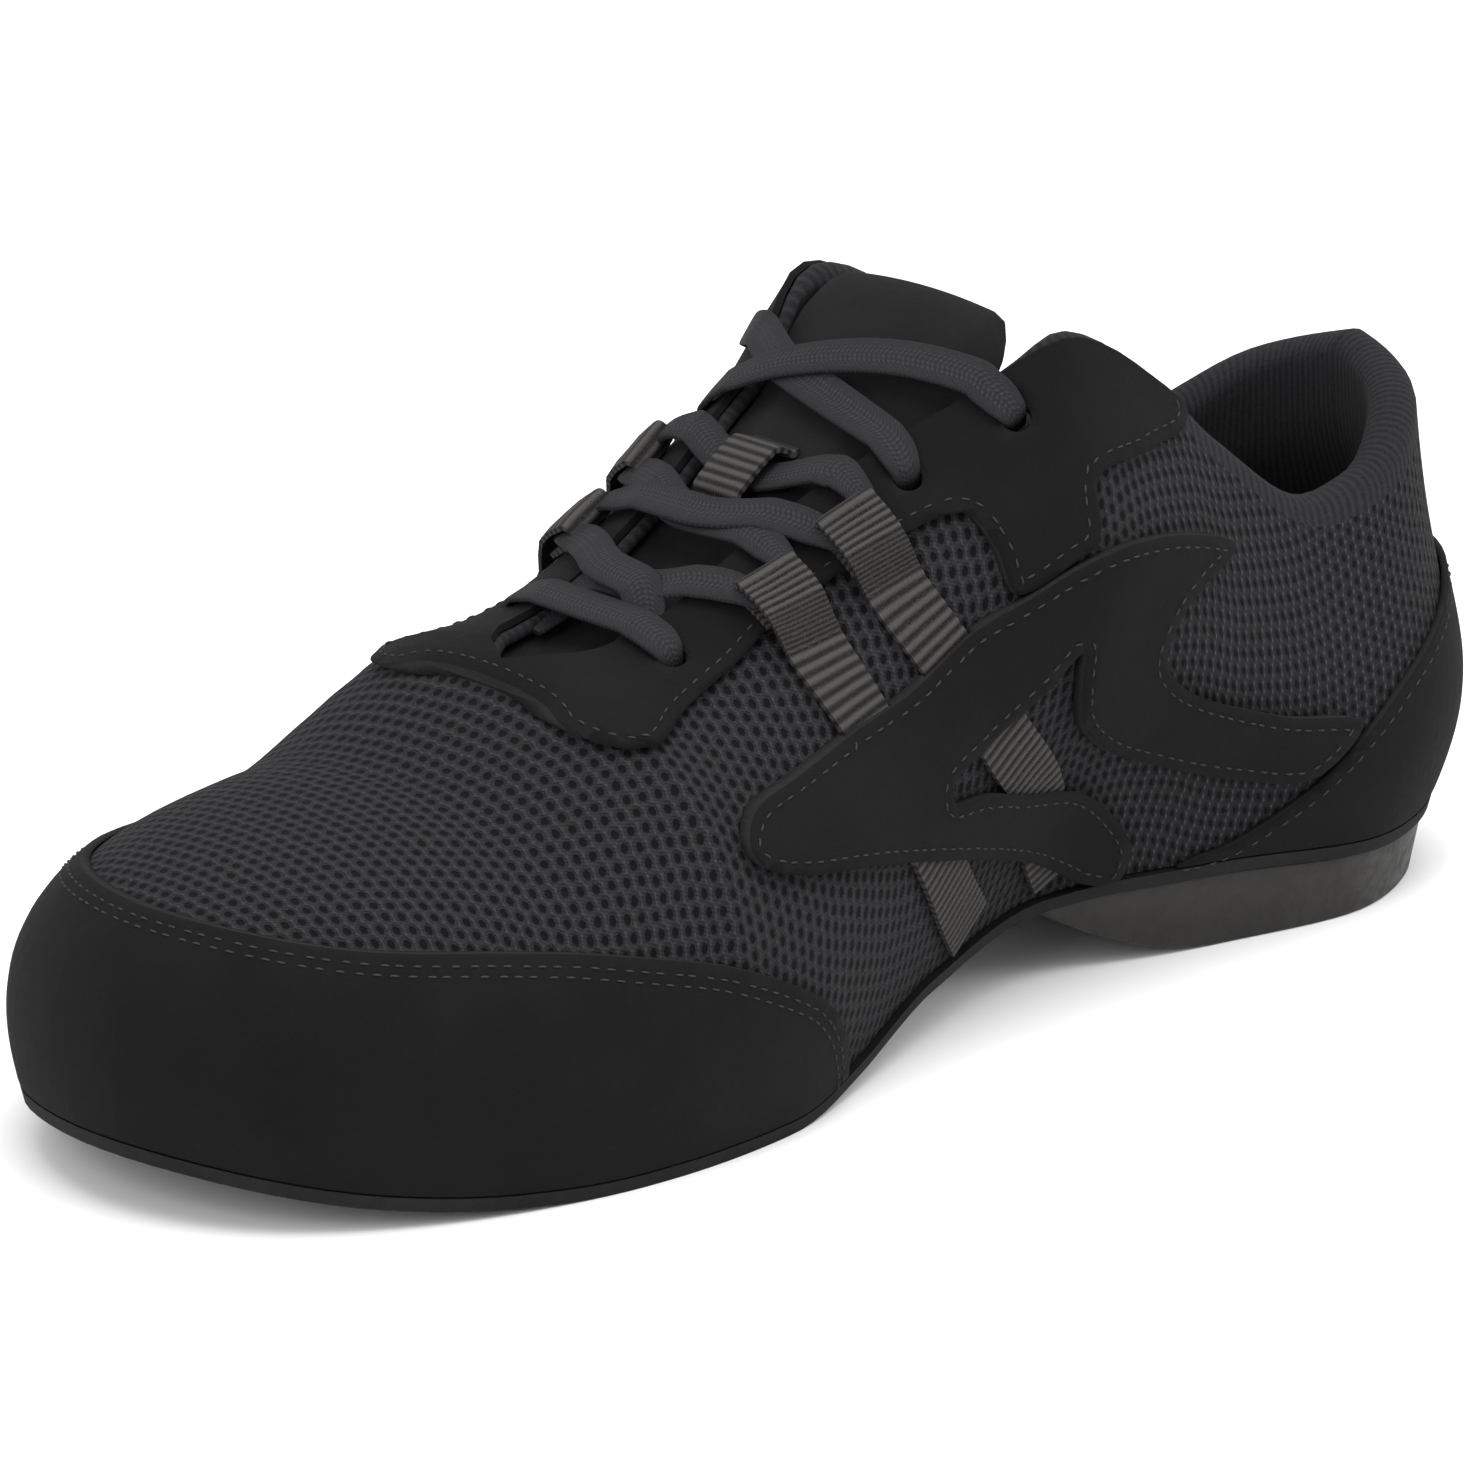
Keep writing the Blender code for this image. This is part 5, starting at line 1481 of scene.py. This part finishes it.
# Tongue loop: a short ribbed tape sewn over the tongue, which keeps the lace under it in the middle.
TONGUE_LOOP_AT = 0.517
TONGUE_LOOP_ASIDE = 1 * MM
KEEPER_REACH = 6.4 * MM
KEEPER_HEIGHT = 4.3 * MM
KEEPER = named_rows(
    "ahead over",
    (1.00, 0.26),
    (0.84, 0.28),
    (0.77, 0.56),
    (0.61, 0.91),
    (0.31, 1.00),
    (-0.31, 1.00),
    (-0.61, 0.91),
    (-0.77, 0.53),
    (-0.84, 0.21),
    (-1.00, 0.16),
)

line = []
for record in KEEPER:
    at = TONGUE_LOOP_AT + record["ahead"] * KEEPER_REACH / SHOE_LENGTH
    ground = throat_arch(at, -TONGUE_LOOP_ASIDE)
    behind, ahead = (throat_arch(at + step, -TONGUE_LOOP_ASIDE) for step in (-0.005, 0.005))
    slope = behind - ahead
    normal = np.array([slope[2], 0.0, -slope[0]])
    line.append(ground + normal / np.linalg.norm(normal) * record["over"] * KEEPER_HEIGHT)
line = smooth_line(line, 60)
outward, inward = [], []
for i, point in enumerate(line):
    along = line[min(i + 1, len(line) - 1)] - line[max(i - 1, 0)]
    face = np.cross(along, (0.0, 1.0, 0.0))
    face *= WEBBING_THICK / 2 / np.linalg.norm(face)
    aside = [np.array([0.0, WEBBING_WIDTH / 2 * k, 0.0]) for k in np.linspace(-1, 1, STRAP_COLUMNS)]
    outward.append([point + face + a for a in aside])
    inward.append([point - face + a for a in aside])
keeper = tape(
    "tongue_loop_tape", np.array(outward), np.array(inward), 0.0,
    lambda run: (run / COARSE_RIB_PITCH + 0.2, 1.0),
)
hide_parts("tongue_loop")


# Laces: one flat woven lace, in strands that cross over the tongue, turn inside the webbing loops
# and go down through the eyelets, where they end inside the shoe.
LACE_WIDTH = 6.5 * MM
LACE_THICK = 1.7 * MM
LACE_FLAT = 0.62
LACE_BUNCHED = 4.3 * MM
LACE_BUNCHED_THICK = 2.0 * MM
LACE_SIDES = 20
LACE_SQUARE = 0.4
LACE_REST = 0.15 * MM
LACE_LIFT = OVERLAY_THICK + 2 * GAP + LACE_THICK / 2 + LACE_REST
IN_LOOP_LIFT = 3.75 * MM
STRAND_OVER = 0.85 * LACE_THICK
LOW_CROSSING_AT = 0.612
LOW_CROSSING_START = 0.55
LOW_CROSSING_PASS = 0.3
MIDDLE_CROSSING_AT = 0.558
HIGH_CROSSING_AT = 0.455
HIGH_CROSSING_ASIDE = 8 * MM
HIGH_STRAND_OVER = 1.0 * LACE_THICK
HIGH_STRAND_UNDER = 0.45 * MM
FRONT_BAR_AT = 0.637
FRONT_BAR_LIFT = 2.9 * MM
TONGUE_BAR_LIFT = -0.05 * MM
TONGUE_BAR_AHEAD = 3 * MM
TONGUE_BAR_EDGE = 1 * MM
TONGUE_BAR_OVER = 0.2 * MM

LACE, tree, shader, spot, weave_spot = dressed("lace", 0.75, 0.01)
split = linked(tree, "ShaderNodeSeparateXYZ", Vector=weave_spot)
chevron = sums(tree, "ABSOLUTE", sums(tree, "SUBTRACT", split.outputs["Y"], 0.5))
turn = sums(tree, "ADD", sums(tree, "DIVIDE", split.outputs["X"], 0.85 * MM), sums(tree, "MULTIPLY", chevron, 9))
braid = sums(tree, "MULTIPLY_ADD", sums(tree, "SINE", sums(tree, "MULTIPLY", turn, 2 * math.pi)), 0.5, 0.5)
ends = sums(tree, "SINE", sums(tree, "MULTIPLY", split.outputs["Y"], 2 * math.pi * 22))
ends = sums(tree, "MULTIPLY_ADD", ends, 0.5, 0.5)
fuzz = grain(tree, spot, 0.4 * MM, 3, 0.7)
tone = mixed(tree, braid, linear((29, 29, 31)), linear((45, 45, 48)))
tone = mixed(tree, sums(tree, "MULTIPLY", ends, 0.4), tone, linear((24, 24, 27)))
tone = mixed(tree, ranged(tree, fuzz, 0.5, 0.8, 0, 0.4), tone, linear((58, 58, 63)))
tree.links.new(tone, shader.inputs["Base Color"])
low = raised(tree, sums(tree, "MULTIPLY", braid, ends), 0.18 * MM, 0.7)
tree.links.new(raised(tree, fuzz, 0.12 * MM, 0.6, low), shader.inputs["Normal"])


def cover_height(x, y):
    """Height of what a lace lies over: the wall, or between its edges the higher of the tongue
    and their own level.
    """
    at = x / SHOE_LENGTH
    across = y - spine(at)[1]
    height = throat_arch(at, across)[2]
    return max(height, top_height(at)) if abs(across) < top_half_width(at) else height


def cover(x, y):
    """The point that a lace lies over, and the direction away from it."""
    step = 1.5 * MM
    along = (cover_height(x + step, y) - cover_height(x - step, y)) / (2 * step)
    across = (cover_height(x, y + step) - cover_height(x, y - step)) / (2 * step)
    normal = np.array([-along, -across, 1.0])
    return np.array([x, y, cover_height(x, y)]), normal / np.linalg.norm(normal)


def strand(name, places, count):
    """A flat lace through places of (x, y, lift, width, thickness), over what the lace lies on."""
    route, away, sizes = [], [], []
    for x, y, lift, width, thick in smooth_line(places, count):
        ground, normal = cover(x, y)
        route.append(ground + normal * lift)
        away.append(normal)
        sizes.append((width, thick))
    route = np.array(route)
    asides = []
    for i in range(count):
        along = route[min(i + 1, count - 1)] - route[max(i - 1, 0)]
        along /= np.linalg.norm(along)
        aside = np.cross(along, away[i])
        asides.append(aside if np.linalg.norm(aside) > 0.5 else None)
    known = next(a for a in asides if a is not None)
    for i in range(count):
        if asides[i] is not None:
            known = asides[i]
        asides[i] = known / np.linalg.norm(known)
    rings = []
    for i, point in enumerate(route):
        along = route[min(i + 1, count - 1)] - route[max(i - 1, 0)]
        along /= np.linalg.norm(along)
        aside = asides[i] - along * (asides[i] @ along)
        aside /= np.linalg.norm(aside)
        face = np.cross(aside, along)
        width, thick = sizes[i]
        thick *= LACE_FLAT
        ring = []
        for k in range(LACE_SIDES):
            turn = 2 * math.pi * (k + 0.5) / LACE_SIDES
            flat = math.copysign(abs(math.cos(turn)) ** LACE_SQUARE, math.cos(turn))
            high = math.copysign(abs(math.sin(turn)) ** LACE_SQUARE, math.sin(turn))
            ring.append(point + aside * flat * width / 2 + face * high * thick / 2)
        rings.append(ring)
    run = np.concatenate([[0.0], np.cumsum(np.linalg.norm(np.diff(route, axis=0), axis=1))])
    form = bmesh.new()
    sheet(
        form, count - 1, LACE_SIDES, lambda i, j: Vector(rings[i][j % LACE_SIDES]),
        lambda i, j: (run[i], 0.5 + 0.5 * math.cos(2 * math.pi * (j + 0.5) / LACE_SIDES)),
    )
    bmesh.ops.remove_doubles(form, verts=form.verts, dist=0.002 * MM)
    bmesh.ops.holes_fill(form, edges=[e for e in form.edges if e.is_boundary])
    bmesh.ops.recalc_face_normals(form, faces=form.faces)
    made = finished(name, form, LACE)
    return made


def in_loop(side, place):
    """The lace's places through a strap's loop, from its toe side to its heel side."""
    table = STRAPS[place]
    ends = []
    for record in table[:2]:
        x = record["at"] * SHOE_LENGTH
        ends.append(skin(side, x, seat_height(x) + record["instep"] * INSTEP_HEIGHT)[0])
    down = (ends[1] - ends[0])[:2]
    down /= np.linalg.norm(down)
    toward_toe = np.array([side * down[1], -side * down[0]])
    found = []
    for out, ahead, lift, width, thick in (
        (-4.2, 4.2, LACE_LIFT + 0.3 * MM, 5.9, 1.7),
        (-0.6, 3.4, IN_LOOP_LIFT, 4.6, 1.8),
        (1.7, 1.9, IN_LOOP_LIFT, 4.2, 1.9),
        (2.3, 0.0, IN_LOOP_LIFT, 4.2, 1.9),
        (1.7, -1.9, IN_LOOP_LIFT, 4.2, 1.9),
        (-0.6, -3.4, IN_LOOP_LIFT, 4.6, 1.8),
        (-4.2, -4.2, LACE_LIFT + 0.3 * MM, 5.9, 1.7),
    ):
        x, y = ends[0][:2] + down * out * MM + toward_toe * ahead * MM
        found.append((x, y, lift, width * MM, thick * MM))
    return found


def in_eyelet(side, number, toward):
    """The lace's places from inside the shoe up through an eyelet and toward a point."""
    x, y = eyelet(side, number)[0][:2]
    way = np.array(toward) - (x, y)
    way /= np.linalg.norm(way)
    found = []
    for out, lift, width, thick in (
        (0.0, -4.5 * MM, 3.6, 2.2),
        (0.1, -1.0 * MM, 3.9, 2.2),
        (0.9, 1.9 * MM, 4.9, 1.9),
        (3.4, LACE_LIFT, 6.1, 1.7),
    ):
        found.append((*(np.array([x, y]) + way * out * MM), lift, width * MM, thick * MM))
    return found


middle_x, middle_y = spine(FRONT_BAR_AT)
places = in_eyelet(1, 0, (middle_x, middle_y))
places += [(middle_x, middle_y, FRONT_BAR_LIFT, LACE_WIDTH, LACE_THICK)]
places += in_eyelet(-1, 0, (middle_x, middle_y))[::-1]
bar = strand("lace_front_bar", places, 90)
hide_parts("lace_bar_front")

for side in (1, -1):
    over = STRAND_OVER if side < 0 else 0.0
    start_x, start_y = spine(LOW_CROSSING_AT)
    half = top_half_width(LOW_CROSSING_AT)
    cross_x, cross_y = spine(MIDDLE_CROSSING_AT)
    flat = (LACE_WIDTH, LACE_THICK)
    places = [
        (start_x + 11 * MM, start_y - side * 0.95 * half, -1.6 * MM, 5.2 * MM, LACE_THICK),
        (start_x + 5 * MM, start_y - side * 0.85 * half, -0.2 * MM, *flat),
        (start_x, start_y - side * 0.4 * half, LACE_LIFT + over, *flat),
        (start_x - 1 * MM, start_y + side * 0.35 * half, LACE_LIFT + over, *flat),
    ]
    places += in_loop(side, "front")
    places += [(cross_x, cross_y, LACE_LIFT + over, *flat)]
    places += in_loop(-side, "rear")[:4]
    lace = strand("lace_" + SIDE_NAMES[side], places, 220)
    if side > 0:
        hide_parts("lace_crossing_low", "lace_crossing_middle")

bar_x, bar_y = spine(TONGUE_LOOP_AT)
edge = top_half_width(TONGUE_LOOP_AT) + TONGUE_BAR_EDGE
places = in_loop(1, "rear")[3:]
for across, lift in (
    (edge, LACE_LIFT + TONGUE_BAR_OVER),
    (-TONGUE_LOOP_ASIDE, TONGUE_BAR_LIFT),
    (-edge, LACE_LIFT + TONGUE_BAR_OVER),
):
    ahead = 0.0 if abs(across) < edge else TONGUE_BAR_AHEAD
    places.append((bar_x - ahead, bar_y + across, lift, 6.0 * MM, LACE_THICK))
places += in_loop(-1, "rear")[3:][::-1]
bar = strand("lace_tongue_bar", places, 120)
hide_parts("lace_bar_tongue")

for side, name in ((1, "lace_top_under"), (-1, "lace_top_over")):
    lift = LACE_LIFT + (HIGH_STRAND_OVER if side < 0 else HIGH_STRAND_UNDER)
    cross = np.array(spine(HIGH_CROSSING_AT))
    cross[1] -= HIGH_CROSSING_ASIDE
    places = in_eyelet(-side, 2, cross)
    places += [(*cross, lift, LACE_WIDTH, LACE_THICK)]
    places += in_eyelet(side, 1, cross)[::-1]
    lace = strand(name, places, 120)
    if side > 0:
        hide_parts("lace_crossing_high")


# Floor, light and camera: a plain pale floor that runs out of view, soft light from above and both
# sides, and the camera low on the toe side, looking along the shoe's outer side.
FLOOR_SIZE = 14
AIM = Vector((2.62, -3.10, 44.0)) * MM
CAMERA_DISTANCE = 1485 * MM
CAMERA_TURN = math.radians(48.86)
CAMERA_RISE = math.radians(17.81)
CAMERA_LENS = 236.5
CAMERA_SENSOR = 36
CAMERA_SHIFT = (-0.010, -0.005)

floor_form = bmesh.new()
bmesh.ops.create_grid(floor_form, x_segments=1, y_segments=1, size=FLOOR_SIZE / 2)
mesh = bpy.data.meshes.new("floor")
floor_form.to_mesh(mesh)
floor_form.free()
floor = bpy.data.objects.new("floor", mesh)
bpy.context.scene.collection.objects.link(floor)
FLOOR_FINISH, tree, shader, spot, _ = dressed("floor_finish", 0.9)
shade = grain(tree, spot, 0.5, 2)
tree.links.new(
    mixed(tree, shade, linear((238, 238, 238)), linear((244, 244, 244))), shader.inputs["Base Color"]
)
mesh.materials.append(FLOOR_FINISH)

# Colours are shown as they are, so the dark suede stays dark and the floor nearly white.
bpy.context.scene.view_settings.view_transform = "Standard"
world = bpy.data.worlds.new("pale_studio")
bpy.context.scene.world = world
world.use_nodes = True
sky = world.node_tree.nodes["Background"]
sky.inputs["Color"].default_value = (1.0, 1.0, 1.0, 1.0)
sky.inputs["Strength"].default_value = 0.9

for name, place, size, power in (
    ("light_above", (0.1, 0.3, 1.5), 1.4, 24),
    ("light_toe_side", (1.6, 0.5, 0.9), 1.0, 14),
    ("light_heel_side", (-1.3, 1.2, 1.0), 1.0, 12),
):
    lamp = bpy.data.lights.new(name, "AREA")
    lamp.size = size
    lamp.energy = power
    made = bpy.data.objects.new(name, lamp)
    made.location = place
    made.rotation_euler = (Vector((0, 0, 0.04)) - Vector(place)).to_track_quat("-Z", "Y").to_euler()
    bpy.context.scene.collection.objects.link(made)

lens = bpy.data.cameras.new("camera")
lens.lens = CAMERA_LENS
lens.sensor_width = CAMERA_SENSOR
lens.shift_x, lens.shift_y = CAMERA_SHIFT
lens.clip_end = 50
camera = bpy.data.objects.new("camera", lens)
level = math.cos(CAMERA_RISE)
camera.location = AIM + CAMERA_DISTANCE * Vector(
    (level * math.cos(CAMERA_TURN), level * math.sin(CAMERA_TURN), math.sin(CAMERA_RISE))
)
camera.rotation_euler = (AIM - camera.location).to_track_quat("-Z", "Y").to_euler()
bpy.context.scene.collection.objects.link(camera)
bpy.context.scene.camera = camera
